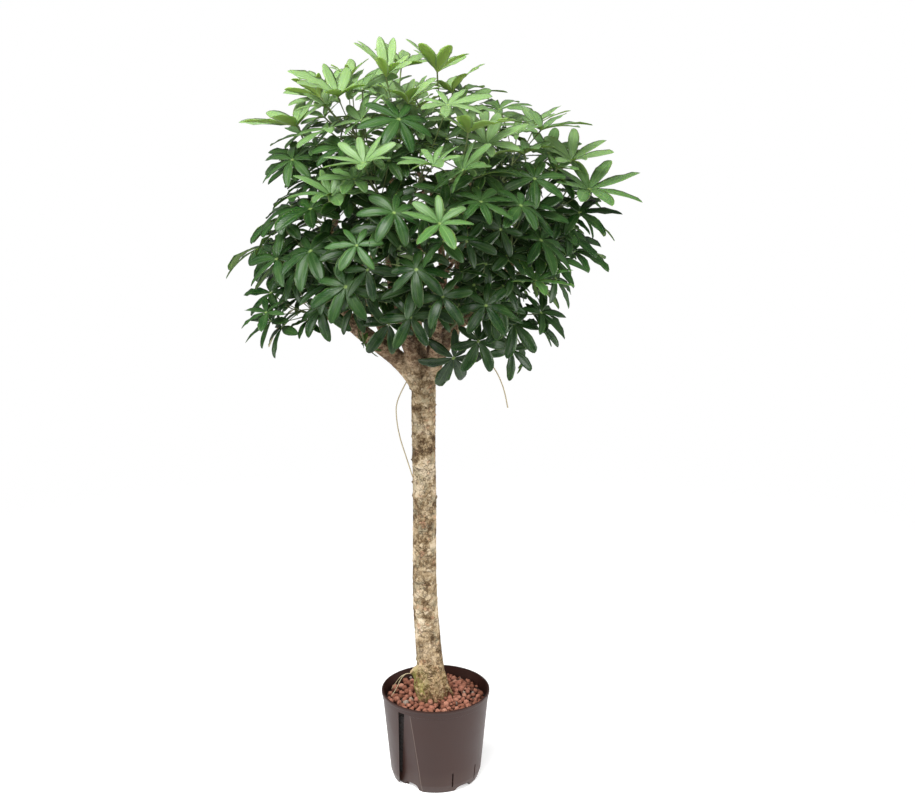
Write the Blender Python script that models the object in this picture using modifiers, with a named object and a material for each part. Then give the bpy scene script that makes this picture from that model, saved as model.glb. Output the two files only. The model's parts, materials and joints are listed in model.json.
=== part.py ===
"""Potted umbrella plant (Schefflera arboricola) grown as a standard: one bare trunk with a
round crown, standing in a 22 cm culture pot filled with expanded clay.
Metres, +Z up, the pot's middle on the origin, its front towards -Y."""
import math
import random

import bmesh
import bpy
from mathutils import Vector
from mathutils.bvhtree import BVHTree

for old in list(bpy.data.objects):
    bpy.data.objects.remove(old, do_unlink=True)

# ---- sizes -------------------------------------------------------------------------------
POT_H = 0.190               # height of the pot
RIM_R = 0.110               # outside of the lip
LIP_H = 0.006               # height of the lip
BODY_TOP_R = 0.1082         # wall just under the lip
BAND_Z, BAND_R = 0.017, 0.0928   # where the bevel of the foot starts
FOOT_R = 0.0880             # outside of the foot on the floor
WALL = 0.0022               # wall thickness
FLOOR_T = 0.006             # thickness of the pot's floor
POT_SIDES = 32
RECESS_X = -0.0743          # left wall of the recess for the water gauge
GAP = 0.00035               # clearance kept between two pieces
CLAY_Z = 0.169              # level of the clay bed
SOCKET_Z = 0.060            # the trunk's buried end stands just above this
TRUNK_SIDES = 12

UP = Vector((0.0, 0.0, 1.0))
CROWN = Vector((-0.01, 0.0, 1.10))      # middle of the crown
GOLDEN = math.radians(137.5)            # turn from one leaf of a shoot to the next
LIGHT_SIDE = Vector((0.0, -1.0, 0.0))   # the side that its leaves have turned to
CROWN_TOP = 1.395                       # no later leaf's hub stands higher

# trunk: middle x, y, z and radius
TRUNK = [(-0.006, 0.000, 0.0605, 0.0305), (-0.006, 0.000, 0.150, 0.0315),
         (-0.007, 0.000, 0.180, 0.0310), (-0.008, 0.000, 0.204, 0.0294),
         (-0.010, 0.000, 0.234, 0.0272), (-0.015, 0.000, 0.295, 0.0258),
         (-0.020, 0.001, 0.382, 0.0246), (-0.021, 0.001, 0.468, 0.0237),
         (-0.020, 0.000, 0.594, 0.0231), (-0.021, 0.000, 0.697, 0.0229),
         (-0.021, 0.000, 0.790, 0.0238), (-0.020, 0.000, 0.835, 0.0235),
         (-0.020, 0.000, 0.858, 0.0170)]

# limbs: the same four numbers along each
LIMBS = [
    ("left", [(-0.018, 0.000, 0.800, 0.0160), (-0.042, -0.002, 0.850, 0.0185), (-0.078, -0.004, 0.888, 0.0170),
              (-0.118, -0.004, 0.918, 0.0155), (-0.158, -0.002, 0.952, 0.0145), (-0.186, 0.004, 0.990, 0.0125),
              (-0.196, 0.012, 1.040, 0.0100), (-0.194, 0.020, 1.095, 0.0080), (-0.184, 0.022, 1.150, 0.0062)]),
    ("left_stub", [(-0.165, -0.002, 0.962, 0.0110), (-0.196, -0.006, 0.988, 0.0118), (-0.214, -0.008, 1.003, 0.0112)]),
    ("right", [(-0.020, -0.002, 0.805, 0.0150), (-0.006, -0.008, 0.860, 0.0180), (0.014, -0.014, 0.905, 0.0170),
               (0.036, -0.016, 0.946, 0.0160), (0.050, -0.012, 0.985, 0.0145), (0.050, -0.006, 1.022, 0.0122),
               (0.050, 0.000, 1.070, 0.0100), (0.066, 0.006, 1.130, 0.0080), (0.084, 0.010, 1.185, 0.0062)]),
    ("right_side", [(0.034, -0.014, 0.940, 0.0100), (0.066, -0.022, 0.966, 0.0105), (0.100, -0.024, 0.996, 0.0092),
                    (0.130, -0.018, 1.034, 0.0080), (0.148, -0.008, 1.080, 0.0062)]),
    ("middle", [(-0.024, -0.004, 0.815, 0.0130), (-0.038, -0.014, 0.880, 0.0145), (-0.056, -0.026, 0.935, 0.0132),
                (-0.068, -0.034, 0.985, 0.0118), (-0.078, -0.040, 1.040, 0.0100), (-0.082, -0.044, 1.100, 0.0085),
                (-0.076, -0.042, 1.160, 0.0070), (-0.068, -0.036, 1.215, 0.0058)]),
    ("centre", [(-0.020, 0.006, 0.820, 0.0140), (-0.028, 0.016, 0.890, 0.0140), (-0.036, 0.026, 0.950, 0.0128),
                (-0.038, 0.034, 1.010, 0.0112), (-0.030, 0.040, 1.070, 0.0096), (-0.014, 0.044, 1.130, 0.0080),
                (0.000, 0.044, 1.190, 0.0064)]),
    ("back", [(-0.016, 0.008, 0.815, 0.0120), (-0.008, 0.038, 0.870, 0.0130), (0.004, 0.074, 0.915, 0.0118),
              (0.014, 0.108, 0.960, 0.0104), (0.018, 0.134, 1.015, 0.0088), (0.014, 0.148, 1.075, 0.0070)]),
    ("back_left", [(-0.066, -0.002, 0.878, 0.0100), (-0.092, 0.030, 0.920, 0.0105), (-0.118, 0.066, 0.962, 0.0092),
                   (-0.136, 0.094, 1.012, 0.0080), (-0.142, 0.112, 1.070, 0.0064)]),
    ("front", [(-0.012, -0.006, 0.845, 0.0100), (0.000, -0.040, 0.896, 0.0110), (0.006, -0.076, 0.940, 0.0098),
               (0.008, -0.104, 0.990, 0.0084), (0.006, -0.120, 1.045, 0.0066)]),
]

ROOT_R = 0.0012             # a thin aerial root
AERIAL_ROOTS = [
    [(-0.045, -0.004, 0.848), (-0.058, -0.010, 0.828), (-0.072, -0.012, 0.795), (-0.073, -0.012, 0.765),
     (-0.067, -0.010, 0.726), (-0.054, -0.006, 0.680), (-0.042, -0.002, 0.640), (-0.034, 0.000, 0.622)],
    [(0.030, -0.018, 0.925), (0.062, -0.026, 0.912), (0.092, -0.028, 0.892), (0.116, -0.028, 0.864),
     (0.132, -0.026, 0.828), (0.141, -0.024, 0.788)],
    [(-0.210, -0.008, 1.000), (-0.245, -0.016, 0.992), (-0.275, -0.020, 0.972), (-0.296, -0.020, 0.945),
     (-0.314, -0.018, 0.908)],
]

# swollen roots at the trunk's foot: x, y, z and radius
ROOT_LOBES = [
    [(-0.024, -0.004, 0.250, 0.0065), (-0.037, -0.008, 0.228, 0.0090), (-0.031, -0.010, 0.202, 0.0075),
     (-0.026, -0.009, 0.174, 0.0055)],
    [(-0.018, -0.016, 0.240, 0.0055), (-0.022, -0.022, 0.208, 0.0075), (-0.020, -0.020, 0.174, 0.0055)],
    [(-0.005, -0.020, 0.232, 0.0050), (0.001, -0.026, 0.202, 0.0068), (0.000, -0.024, 0.174, 0.0055)],
    [(0.008, -0.005, 0.240, 0.0055), (0.019, -0.007, 0.206, 0.0074), (0.0165, -0.007, 0.174, 0.0058)],
    [(0.003, 0.017, 0.234, 0.0055), (0.008, 0.023, 0.204, 0.0072), (0.0065, 0.020, 0.174, 0.0058)],
    [(-0.018, 0.014, 0.238, 0.0055), (-0.024, 0.019, 0.206, 0.0072), (-0.022, 0.017, 0.174, 0.0055)],
]

# Leafy shoots: tip, leaves, length of a leaflet, freshness, and the hubs of the leading
# leaves with each one's leaflet length and freshness (0 an old dark leaf, 1 a new pale one).
SHOOTS = [
    ((-0.20, 0.02, 1.24), 5, 0.088, 0.3, [(-0.25, -0.01, 1.32, 0.110, 0.85), (-0.235, 0.02, 1.24, 0.078, 0.3)]),
    ((-0.15, -0.02, 1.32), 5, 0.088, 0.4, [(-0.17, -0.06, 1.375, 0.110, 0.9), (-0.153, 0.02, 1.405, 0.060, 1.0)]),
    ((-0.06, -0.03, 1.31), 5, 0.085, 0.4, [(-0.084, -0.06, 1.41, 0.090, 1.0), (-0.06, 0.10, 1.42, 0.080, 0.9),
                                           (-0.06, -0.13, 1.34, 0.080, 0.1)]),
    ((0.02, 0.04, 1.31), 5, 0.090, 0.4, [(0.003, -0.02, 1.42, 0.092, 0.95), (0.055, 0.10, 1.375, 0.095, 0.4)]),
    ((0.04, -0.14, 1.24), 5, 0.085, 0.3, [(0.06, -0.17, 1.32, 0.095, 0.8), (0.00, -0.24, 1.27, 0.075, 0.6)]),
    ((0.15, 0.03, 1.25), 5, 0.088, 0.3, [(0.125, 0.06, 1.345, 0.085, 0.5), (0.197, -0.03, 1.314, 0.104, 0.55)]),
    ((0.19, -0.03, 1.20), 5, 0.088, 0.3, [(0.255, -0.02, 1.257, 0.092, 0.88), (0.18, -0.12, 1.235, 0.074, 0.3)]),
    ((0.21, 0.00, 1.15), 5, 0.090, 0.2, [(0.285, -0.04, 1.206, 0.110, 0.75), (0.28, 0.05, 1.15, 0.098, 0.25)]),
    ((0.14, -0.14, 1.14), 5, 0.075, 0.1, [(0.19, -0.15, 1.13, 0.082, 0.1), (0.15, -0.22, 1.20, 0.072, 0.1)]),
    ((0.16, -0.06, 1.06), 5, 0.075, 0.1, [(0.26, -0.03, 1.09, 0.090, 0.1), (0.18, -0.17, 1.06, 0.085, 0.75)]),
    ((0.13, -0.06, 0.98), 5, 0.068, 0.0, [(0.145, -0.12, 0.974, 0.072, 0.0), (0.165, -0.03, 0.91, 0.064, 0.05)]),
    ((0.07, -0.14, 1.03), 5, 0.070, 0.1, [(0.09, -0.24, 1.03, 0.070, 0.0), (0.10, -0.19, 1.10, 0.068, 0.1)]),
    ((0.03, -0.19, 1.14), 5, 0.072, 0.2, [(0.01, -0.30, 1.18, 0.082, 0.8), (0.08, -0.25, 1.21, 0.070, 0.2)]),
    ((0.00, -0.17, 1.04), 5, 0.068, 0.0, [(0.015, -0.28, 1.053, 0.068, 0.0), (-0.04, -0.24, 1.01, 0.066, 0.0)]),
    ((-0.10, -0.12, 1.21), 5, 0.076, 0.3, [(-0.12, -0.20, 1.27, 0.090, 0.8), (-0.16, -0.13, 1.29, 0.070, 0.2)]),
    ((-0.20, -0.04, 1.15), 5, 0.088, 0.2, [(-0.18, -0.16, 1.21, 0.100, 0.7), (-0.287, 0.03, 1.145, 0.092, 0.25)]),
    ((-0.05, -0.18, 1.16), 5, 0.070, 0.1, [(-0.06, -0.28, 1.21, 0.070, 0.1)]),
    ((-0.11, -0.17, 1.10), 5, 0.070, 0.1, [(-0.13, -0.27, 1.14, 0.062, 0.35), (-0.03, -0.28, 1.10, 0.070, 0.0)]),
    ((-0.22, -0.03, 1.07), 5, 0.080, 0.1, [(-0.22, -0.14, 1.11, 0.085, 0.0), (-0.325, 0.04, 1.09, 0.102, 0.15)]),
    ((-0.25, -0.05, 0.985), 5, 0.072, 0.0, [(-0.205, -0.11, 1.00, 0.074, 0.0), (-0.265, -0.04, 0.96, 0.068, 0.0)]),
    ((-0.13, -0.12, 1.03), 5, 0.070, 0.0, [(-0.153, -0.22, 1.06, 0.078, 0.0), (-0.132, -0.06, 0.925, 0.044, 0.1)]),
    ((0.05, -0.09, 0.98), 4, 0.070, 0.0, [(0.036, -0.10, 0.905, 0.080, 0.0), (0.08, -0.14, 0.945, 0.070, 0.0)]),
    ((-0.07, -0.13, 0.98), 4, 0.068, 0.0, [(-0.08, -0.18, 0.985, 0.068, 0.0)]),
    ((-0.02, -0.06, 1.24), 5, 0.081, 0.2, [(-0.01, -0.15, 1.34, 0.085, 0.6)]),
    ((-0.16, 0.17, 1.20), 5, 0.090, 0.3, []),
    ((-0.04, 0.14, 1.28), 5, 0.090, 0.4, []),
    ((0.10, 0.17, 1.23), 5, 0.090, 0.3, []),
    ((0.20, 0.13, 1.10), 5, 0.090, 0.2, []),
    ((0.08, 0.23, 1.11), 5, 0.088, 0.1, []),
    ((-0.08, 0.23, 1.12), 5, 0.088, 0.1, []),
    ((-0.22, 0.13, 1.06), 5, 0.088, 0.1, []),
    ((0.12, 0.17, 0.98), 5, 0.082, 0.0, []),
    ((-0.12, 0.18, 0.98), 5, 0.082, 0.0, []),
]


# ---- small geometry helpers ----------------------------------------------------------------
def bezier(a, b, c, t):
    return a * (1 - t) ** 2 + b * (2 * t * (1 - t)) + c * t ** 2


def rings(points, radii, sides):
    """Vertices of a tube, ring by ring, without twist."""
    out, side = [], None
    for i, p in enumerate(points):
        along = (points[min(i + 1, len(points) - 1)] - points[max(i - 1, 0)]).normalized()
        if side is None:
            side = along.cross(UP if abs(along.z) < 0.9 else Vector((0, 1, 0)))
        side = (side - along * side.dot(along)).normalized()
        other = along.cross(side)
        out.append([p + (side * math.cos(a) + other * math.sin(a)) * radii[i]
                    for a in (2 * math.pi * k / sides for k in range(sides))])
    return out


def tube(points, radii, sides):
    """Closed tube with flat ends: vertices and faces."""
    ring_list = rings(points, radii, sides)
    verts = [v for ring in ring_list for v in ring]
    faces = [tuple(reversed(range(sides)))]
    for i in range(len(points) - 1):
        a, b = i * sides, (i + 1) * sides
        faces += [(a + k, a + (k + 1) % sides, b + (k + 1) % sides, b + k) for k in range(sides)]
    last = (len(points) - 1) * sides
    faces.append(tuple(last + k for k in range(sides)))
    return verts, faces


# ---- how the crown grows -------------------------------------------------------------------
def root_lines():
    return [([Vector(p) for p in pts], [ROOT_R] * len(pts)) for pts in AERIAL_ROOTS]


def limb_lines():
    return [([Vector(p[:3]) for p in pts], [p[3] for p in pts]) for _, pts in LIMBS]


def crowding(line, lines, wood):
    """How often a shoot would come too close to a limb or to an earlier shoot."""
    own = [bezier(*line[:3], 0.34 + 0.06 * i) for i in range(12)]
    near = sum(1 for p in own for q, r in wood if (p - q).length < r + 0.006)
    for other in lines:
        theirs = [bezier(*other[:3], 0.04 * i) for i in range(26)]
        near += sum(1 for p in own for q in theirs if (p - q).length < 0.011)
    return near


def shoot_lines():
    """Centre line of every shoot from the limb that carries it to its tip."""
    spots = []
    wood = [(a.lerp(b, f / 4), ra + (rb - ra) * f / 4) for pts, radii in limb_lines()
            for a, b, ra, rb in zip(pts, pts[1:], radii, radii[1:]) for f in range(4)]
    for (name, _), (pts, radii) in zip(LIMBS, limb_lines()):
        if name == "left_stub":
            continue
        for i in range(2, len(pts) - 1):
            for f in (0.0, 0.5):
                spots.append((pts[i].lerp(pts[i + 1], f), radii[i] * (1 - f) + radii[i + 1] * f))
        spots.append((pts[-1], radii[-1]))
    lines = []
    for row in SHOOTS:
        tip = Vector(row[0])
        ways = []
        for spot in spots:
            start, r = spot
            reach = tip - start
            bend = start + Vector((reach.x * 0.62, reach.y * 0.62, reach.z * 0.42))
            line = (start, bend, tip, min(0.0048, r * 0.8))
            cost = reach.length + 1.2 * max(0.0, 0.04 - reach.z)
            if cost < 0.30:
                ways.append((cost + 0.05 * crowding(line, lines, wood), line, spot))
        _, line, spot = min(ways, key=lambda way: way[0])
        spots.remove(spot)
        lines.append(line)
    return lines


def shoot_radius(base, t):
    return base * (1 - t) + 0.0021 * t


def leaf_shape(stalk, normal, leaflets, rib, stalk_r, bent, spread=0.0):
    """One palmate leaf on its stalk as a closed body: every leaflet is a folded blade,
    thickest on its rib, which also arches where bent is set, and all of them meet over
    the end of the stalk."""
    hub = stalk[-1]
    out = hub - stalk[0]
    u = (out - normal * out.dot(normal)).normalized()
    v = normal.cross(u)
    n = len(leaflets)
    verts, faces = [], []

    def at(az, r, z, s=0.0):
        d = u * math.cos(az) + v * math.sin(az)
        return hub + d * r + normal * z + normal.cross(d) * s

    def arc(leaflet, t):
        _, size, a0, a1, _ = leaflet
        a, span = a0 + (a1 - a0) * t, a1 - a0
        size += spread
        return size * (math.sin(a) - math.sin(a0)) / span, size * (math.cos(a0) - math.cos(a)) / span

    # stalk end, under the leaf: three vertices; then the middle of the upper side
    ends = [math.radians(60), math.radians(180), math.radians(300)]
    verts += [at(a, stalk_r, -rib) for a in ends]
    verts.append(hub + normal * rib)
    mids = []
    for k, leaf in enumerate(leaflets):
        nxt = leaflets[(k + 1) % n]
        az = nxt[0] if k < n - 1 else nxt[0] + 2 * math.pi
        middle = (leaf[0] + az) / 2
        z = (arc(leaf, 0.1)[1] + arc(nxt, 0.1)[1]) / 2
        mids.append(len(verts))
        verts.append(at(middle, 0.0058, z))
    nearest = [min(range(3), key=lambda j: abs(math.remainder(leaf[0] - ends[j], 2 * math.pi))) for leaf in leaflets]
    for k, leaf in enumerate(leaflets):
        az, _, _, _, width = leaf
        right, left = mids[k - 1], mids[k]
        i = len(verts)
        r5, z5 = arc(leaf, 0.48)
        r6, z6 = arc(leaf, 0.62)
        r1, z1 = arc(leaf, 1.0)
        half = width + spread
        verts.extend([at(az, r6, z6 + half * 0.22, -half), at(az, r6, z6 + half * 0.22, half), at(az, r1, z1)])
        lo, hi, tip = i, i + 1, i + 2
        p = nearest[k]
        if bent:
            verts.extend([at(az, r5, z5 + rib), at(az, r5, z5 - rib)])
            top, under = i + 3, i + 4
            faces += [(3, right, top), (right, lo, top), (lo, tip, top), (tip, hi, top), (hi, left, top), (left, 3, top),
                      (p, under, right), (right, under, lo), (lo, under, tip), (tip, under, hi), (hi, under, left),
                      (left, under, p)]
        else:
            faces += [(3, right, lo), (3, lo, tip), (3, tip, hi), (3, hi, left),
                      (p, lo, right), (p, tip, lo), (p, hi, tip), (p, left, hi)]
        q = nearest[(k + 1) % n]
        if q != p:
            faces.append((p, q, left))
    # stalk down from the leaf
    previous, side = [0, 1, 2], None
    for i in range(len(stalk) - 2, -1, -1):
        along = (stalk[min(i + 1, len(stalk) - 1)] - stalk[max(i - 1, 0)]).normalized()
        side = (verts[previous[0]] - stalk[i + 1]) if side is None else side
        side = (side - along * side.dot(along)).normalized()
        other = along.cross(side)
        ring = []
        for a in (0.0, math.radians(120), math.radians(240)):
            ring.append(len(verts))
            verts.append(stalk[i] + (side * math.cos(a) + other * math.sin(a)) * stalk_r)
        for k in range(3):
            faces.append((previous[k], ring[k], ring[(k + 1) % 3], previous[(k + 1) % 3]))
        previous = ring
    faces.append(tuple(previous))
    return verts, faces


def leaf_plan(line, u, hub, turn, size, fresh, rng, tries):
    """Stalk, normal and leaflets of one leaf; the more tries it takes, the more it gives way."""
    start, bend, tip, base_r = line
    hub_given = hub is not None
    here = bezier(start, bend, tip, u)
    along = (bezier(start, bend, tip, min(1.0, u + 0.02)) - bezier(start, bend, tip, u - 0.02)).normalized()
    loose = 0.15 + 0.085 * tries
    if hub is None:
        ref = along.cross(Vector((1, 0, 0))).normalized()
        az = turn + rng.uniform(-1.0, 1.0) * (0.2 + loose)
        away = ref * math.cos(az) + along.cross(ref) * math.sin(az)
        centre_out = here - CROWN
        centre_out.z *= 0.5
        away = (away + centre_out.normalized() * 0.55).normalized()
        lean = math.radians(66 - 34 * (u - 0.5) / 0.5) + rng.uniform(-0.2, 0.2) * (0.5 + loose)
        leave = along * math.cos(lean) + away * math.sin(lean)
        reach = size * (1.18 - 0.25 * u) * rng.uniform(0.9, 1.15 + 0.3 * loose)
        knee = here + leave * reach * 0.55
        hub = knee + (leave + UP * 0.55).normalized() * reach * 0.45
    else:
        wander = min(0.045, 0.006 * tries)
        hub = hub + Vector([rng.uniform(-1, 1) * wander * k for k in (1.0, 1.0, 0.7)])
        gap = hub - here
        knee = here + gap * 0.5 + (along - UP * 0.25) * gap.length * 0.12
    stalk = [here, bezier(here, knee, hub, 0.52), hub]
    end_dir = (hub - stalk[1]).normalized()
    out = hub - CROWN
    flat = Vector((out.x, out.y, 0.0)).normalized()
    level = out.z / max(out.length, 1e-6)
    tilt = math.radians(6 + 19 * (1 - level) + 8 * max(0.0, -level) + rng.uniform(-10, 12))
    tilt *= min(1.0, out.length / 0.22) * (1 - 0.7 * fresh)
    normal = UP * math.cos(tilt) + flat * math.sin(tilt) + end_dir * 0.16
    normal += LIGHT_SIDE * (0.40 + 0.08 * flat.dot(LIGHT_SIDE)) * (1 - 0.45 * max(0.0, level)) * (1 - 0.35 * fresh)
    normal += Vector([rng.uniform(-0.26, 0.26) * (1 + loose) for _ in range(3)])
    normal.normalize()
    if normal.dot(end_dir) < 0.35:
        normal = (normal + end_dir * (0.4 - normal.dot(end_dir))).normalized()
    count = rng.choice((7, 7, 8, 8) if hub_given else (6, 7, 7))
    if size < 0.07:
        count = 6
    turn0 = rng.uniform(-0.25, 0.25)
    rise = math.radians(8 + 34 * fresh ** 1.2 + 70 * max(0.0, fresh - 0.82)) + rng.uniform(-0.12, 0.12)
    drop = rise - math.radians((40 - 20 * fresh if hub_given else 32) + rng.uniform(-8, 8))
    leaflets = []
    for k in range(count):
        az = turn0 + 2 * math.pi * (k + rng.uniform(-0.10, 0.10)) / count
        back = (1 - math.cos(az)) / 2
        length = size * (1.0 - 0.32 * back) * rng.uniform(0.90, 1.04)
        leaflets.append((az, length, rise + rng.uniform(-0.12, 0.12), drop + rng.uniform(-0.12, 0.12),
                         length * (0.150 if fresh < 0.5 else 0.138)))
    return stalk, normal, leaflets


def guard(verts, faces, owner=None):
    low = [min(p[k] for p in verts) for k in range(3)]
    high = [max(p[k] for p in verts) for k in range(3)]
    return low, high, BVHTree.FromPolygons(verts, faces, epsilon=0.0), owner


def meets(one, other):
    return (all(one[0][k] <= other[1][k] and other[0][k] <= one[1][k] for k in range(3))
            and one[2].overlap(other[2]))


def hides_fork(hub):
    """The limbs show from the front between the trunk's top and the crown."""
    return hub.y < 0.06 and -0.17 < hub.x < 0.045 and hub.z < 1.005


def grow_crown():
    """Place the leaves of all shoots so that none meets another, a stem or a limb."""
    lines = shoot_lines()
    wood = []
    for pts, radii in limb_lines() + root_lines():
        wood.append(guard(*tube(pts, [r + 0.003 for r in radii], 8)))
    for s, (start, bend, tip, base_r) in enumerate(lines):
        steps = [bezier(start, bend, tip, t) for t in (0.0, 0.2, 0.4, 0.6, 0.8, 1.0)]
        steps[-1] += (steps[-1] - steps[-2]).normalized() * 0.004
        wood.append(guard(*tube(steps, [shoot_radius(base_r, t) + 0.0016 for t in (0, 0.2, 0.4, 0.6, 0.8, 1)], 6), s))
    jobs = []
    for s, (tip, count, size, fresh, leads) in enumerate(SHOOTS):
        rest = count - len(leads)
        for i, lead in enumerate(leads):
            jobs.append((0, s, 0.985 - 0.035 * i, Vector(lead[:3]), 0.0, lead[3], lead[4]))
        for i in range(rest):
            top = not leads
            u = (0.98 - 0.115 * i) if top else (0.86 - 0.115 * i)
            young = min(0.95, max(0.0, fresh - 0.2 * i) + max(0.0, bezier(*lines[s][:3], u).z - 1.15) * 4.5)
            jobs.append((1 + i, s, u, None, s * 0.9 + (i + 1) * GOLDEN, size * (1 - 0.03 * i), young))
    jobs.sort(key=lambda j: (j[0], j[1]))
    leaves, placed, dropped = [], [], 0
    for index, (_, s, u, hub, turn, size, fresh) in enumerate(jobs):
        rng = random.Random(7000 + index)
        for tries in range(26):
            shrink = 1.0 if tries < 10 else 1.0 - 0.012 * (tries - 9)
            stalk, normal, leaflets = leaf_plan(lines[s], u, hub, turn, size * shrink, fresh, rng, tries)
            if hub is None and (hides_fork(stalk[-1]) or stalk[-1].z > CROWN_TOP):
                continue
            skip = stalk[0].lerp(stalk[1], min(0.8, 0.012 / max(0.012, (stalk[1] - stalk[0]).length)))
            own = guard(*leaf_shape([skip, stalk[1], stalk[2]], normal, leaflets, 0.0026, 0.0026, True, 0.0022))
            if any(meets(own, other) for other in wood if other[3] != s):
                continue
            blade = guard(*leaf_shape([stalk[2] - (stalk[2] - stalk[1]).normalized() * 0.006, stalk[2]],
                                      normal, leaflets, 0.0026, 0.0020, True, 0.0022))
            if any(meets(blade, other) for other in wood if other[3] == s):
                continue
            if any(meets(own, other) for other in placed):
                continue
            placed.append(own)
            leaves.append((s, u, stalk, normal, leaflets, fresh, hub is not None))
            break
        else:
            dropped += 1
            print("no room for leaf", index, "of shoot", s + 1, "leading" if hub is not None else "")
    print("leaves placed", len(leaves), "dropped", dropped)
    return lines, leaves


# ---- turning shapes into solids --------------------------------------------------------------
def material(name, colour, rough=0.6):
    mat = bpy.data.materials.new(name)
    mat.use_nodes = True
    bsdf = mat.node_tree.nodes["Principled BSDF"]
    bsdf.inputs["Base Color"].default_value = (*colour, 1.0)
    bsdf.inputs["Roughness"].default_value = rough
    return mat


def body(name, verts, faces, mat=None):
    mesh = bpy.data.meshes.new(name)
    mesh.from_pydata([tuple(v) for v in verts], [], faces)
    bm = bmesh.new()
    bm.from_mesh(mesh)
    bmesh.ops.recalc_face_normals(bm, faces=bm.faces)
    bm.to_mesh(mesh)
    bm.free()
    obj = bpy.data.objects.new(name, mesh)
    bpy.context.scene.collection.objects.link(obj)
    if mat:
        mesh.materials.append(mat)
    return obj


def settle(obj):
    """Apply the object's modifiers."""
    deps = bpy.context.evaluated_depsgraph_get()
    mesh = bpy.data.meshes.new_from_object(obj.evaluated_get(deps))
    obj.modifiers.clear()
    old = obj.data
    obj.data = mesh
    mesh.name = obj.name
    bpy.data.meshes.remove(old)
    return obj


def turned(name, profile, sides):
    """A solid of revolution about Z from (radius, height) points on the axis at both ends."""
    mesh = bpy.data.meshes.new(name)
    mesh.from_pydata([(r, 0.0, z) for r, z in profile], [(i, i + 1) for i in range(len(profile) - 1)], [])
    obj = bpy.data.objects.new(name, mesh)
    bpy.context.scene.collection.objects.link(obj)
    spin = obj.modifiers.new("turn", 'SCREW')
    spin.steps = spin.render_steps = sides
    spin.use_merge_vertices = True
    spin.merge_threshold = 0.00001
    settle(obj)
    bm = bmesh.new()
    bm.from_mesh(obj.data)
    bmesh.ops.remove_doubles(bm, verts=bm.verts, dist=1e-6)
    bmesh.ops.recalc_face_normals(bm, faces=bm.faces)
    bm.to_mesh(obj.data)
    bm.free()
    return obj


def combine(obj, others, operation, solver='EXACT'):
    """Join a list of objects to one, or cut them from it, and remove them."""
    group = bpy.data.collections.new(obj.name + "_" + operation.lower())
    bpy.context.scene.collection.children.link(group)
    for other in others:
        group.objects.link(other)
        other.display_type = 'WIRE'
        other.hide_render = True
    mod = obj.modifiers.new(operation.lower(), 'BOOLEAN')
    mod.operation = operation
    mod.operand_type = 'COLLECTION'
    mod.collection = group
    mod.solver = solver
    settle(obj)
    for other in others:
        bpy.data.objects.remove(other, do_unlink=True)
    bpy.data.collections.remove(group)
    return obj


def dress(obj, mat):
    obj.data.materials.clear()
    obj.data.materials.append(mat)
    for poly in obj.data.polygons:
        poly.material_index = 0
    return obj


# ---- pot -------------------------------------------------------------------------------------
def wall_radius(z):
    """Outside of the pot's wall at a height."""
    if z < BAND_Z:
        return FOOT_R + (BAND_R - FOOT_R) * z / BAND_Z
    return BAND_R + (BODY_TOP_R - BAND_R) * (z - BAND_Z) / (POT_H - LIP_H - BAND_Z)


def front_angle(deg):
    """Direction seen from above, in degrees from the front, positive to the right."""
    a = math.radians(deg)
    return Vector((math.sin(a), -math.cos(a), 0.0))


def recess(name, grow):
    """Wedge that cuts the flat recess for the water gauge. Its left wall runs straight back; its
    floor leans inwards towards the foot and comes out of the pot's wall on the right."""
    corners = []
    for z, right, depth in ((-0.004, 18.0, 0.0110), (POT_H - 0.014 + grow, 29.0, 0.0048)):
        r = wall_radius(max(z, 0.0))
        out, beside = front_angle(-right), front_angle(90 - right)
        edge = out * (r - 0.0016 - grow) + beside * grow
        left = Vector((RECESS_X - grow, depth + grow - math.sqrt(r * r - RECESS_X ** 2), 0.0))
        corners += [Vector((p.x, p.y, z)) for p in (left, edge, edge + out * 0.030, left - Vector((0.0, 0.050, 0.0)))]
    return body(name, corners, [(3, 2, 1, 0), (4, 5, 6, 7), (0, 1, 5), (0, 5, 4), (1, 2, 6),
                                                   (1, 6, 5), (2, 3, 7), (2, 7, 6), (3, 0, 4), (3, 4, 7)])


def gauge_slot(name):
    """The long slot beside the recess's left wall, a little narrower at its foot."""
    pts = []
    for z, width in ((0.024, 0.0056), (POT_H - 0.0165, 0.0112)):
        for x, y in ((RECESS_X + 0.0004, -0.100), (RECESS_X + 0.0004 + width, -0.100),
                     (RECESS_X + 0.0004 + width, -0.028), (RECESS_X + 0.0004, -0.028)):
            pts.append((x, y, z))
    return body(name, pts, [(3, 2, 1, 0), (4, 5, 6, 7), (0, 1, 5, 4), (1, 2, 6, 5),
                                               (2, 3, 7, 6), (3, 0, 4, 7)])


def radial_box(name, deg, r0, r1, width, z0, z1):
    out, side = front_angle(deg), front_angle(deg + 90)
    pts = [out * r + side * s + UP * z for z in (z0, z1)
           for r, s in ((r0, -width / 2), (r1, -width / 2), (r1, width / 2), (r0, width / 2))]
    return body(name, pts, [(3, 2, 1, 0), (4, 5, 6, 7), (0, 1, 5, 4), (1, 2, 6, 5), (2, 3, 7, 6), (3, 0, 4, 7)])


INNER = [(0.0, FLOOR_T), (0.0720, FLOOR_T), (BAND_R - 0.0030, BAND_Z + 0.008)]


def inner_profile(shrink, top_z):
    """Inside of the pot from the floor to a height, drawn in by a clearance."""
    (_, floor), (corner, _), (low_r, low_z) = INNER
    top_r = low_r + (BODY_TOP_R - WALL - low_r) * (top_z - low_z) / (POT_H - LIP_H - low_z)
    return [(0.0, floor + shrink), (corner - shrink, floor + shrink), (low_r - shrink, low_z),
            (top_r - shrink, top_z), (0.0, top_z)]


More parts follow.
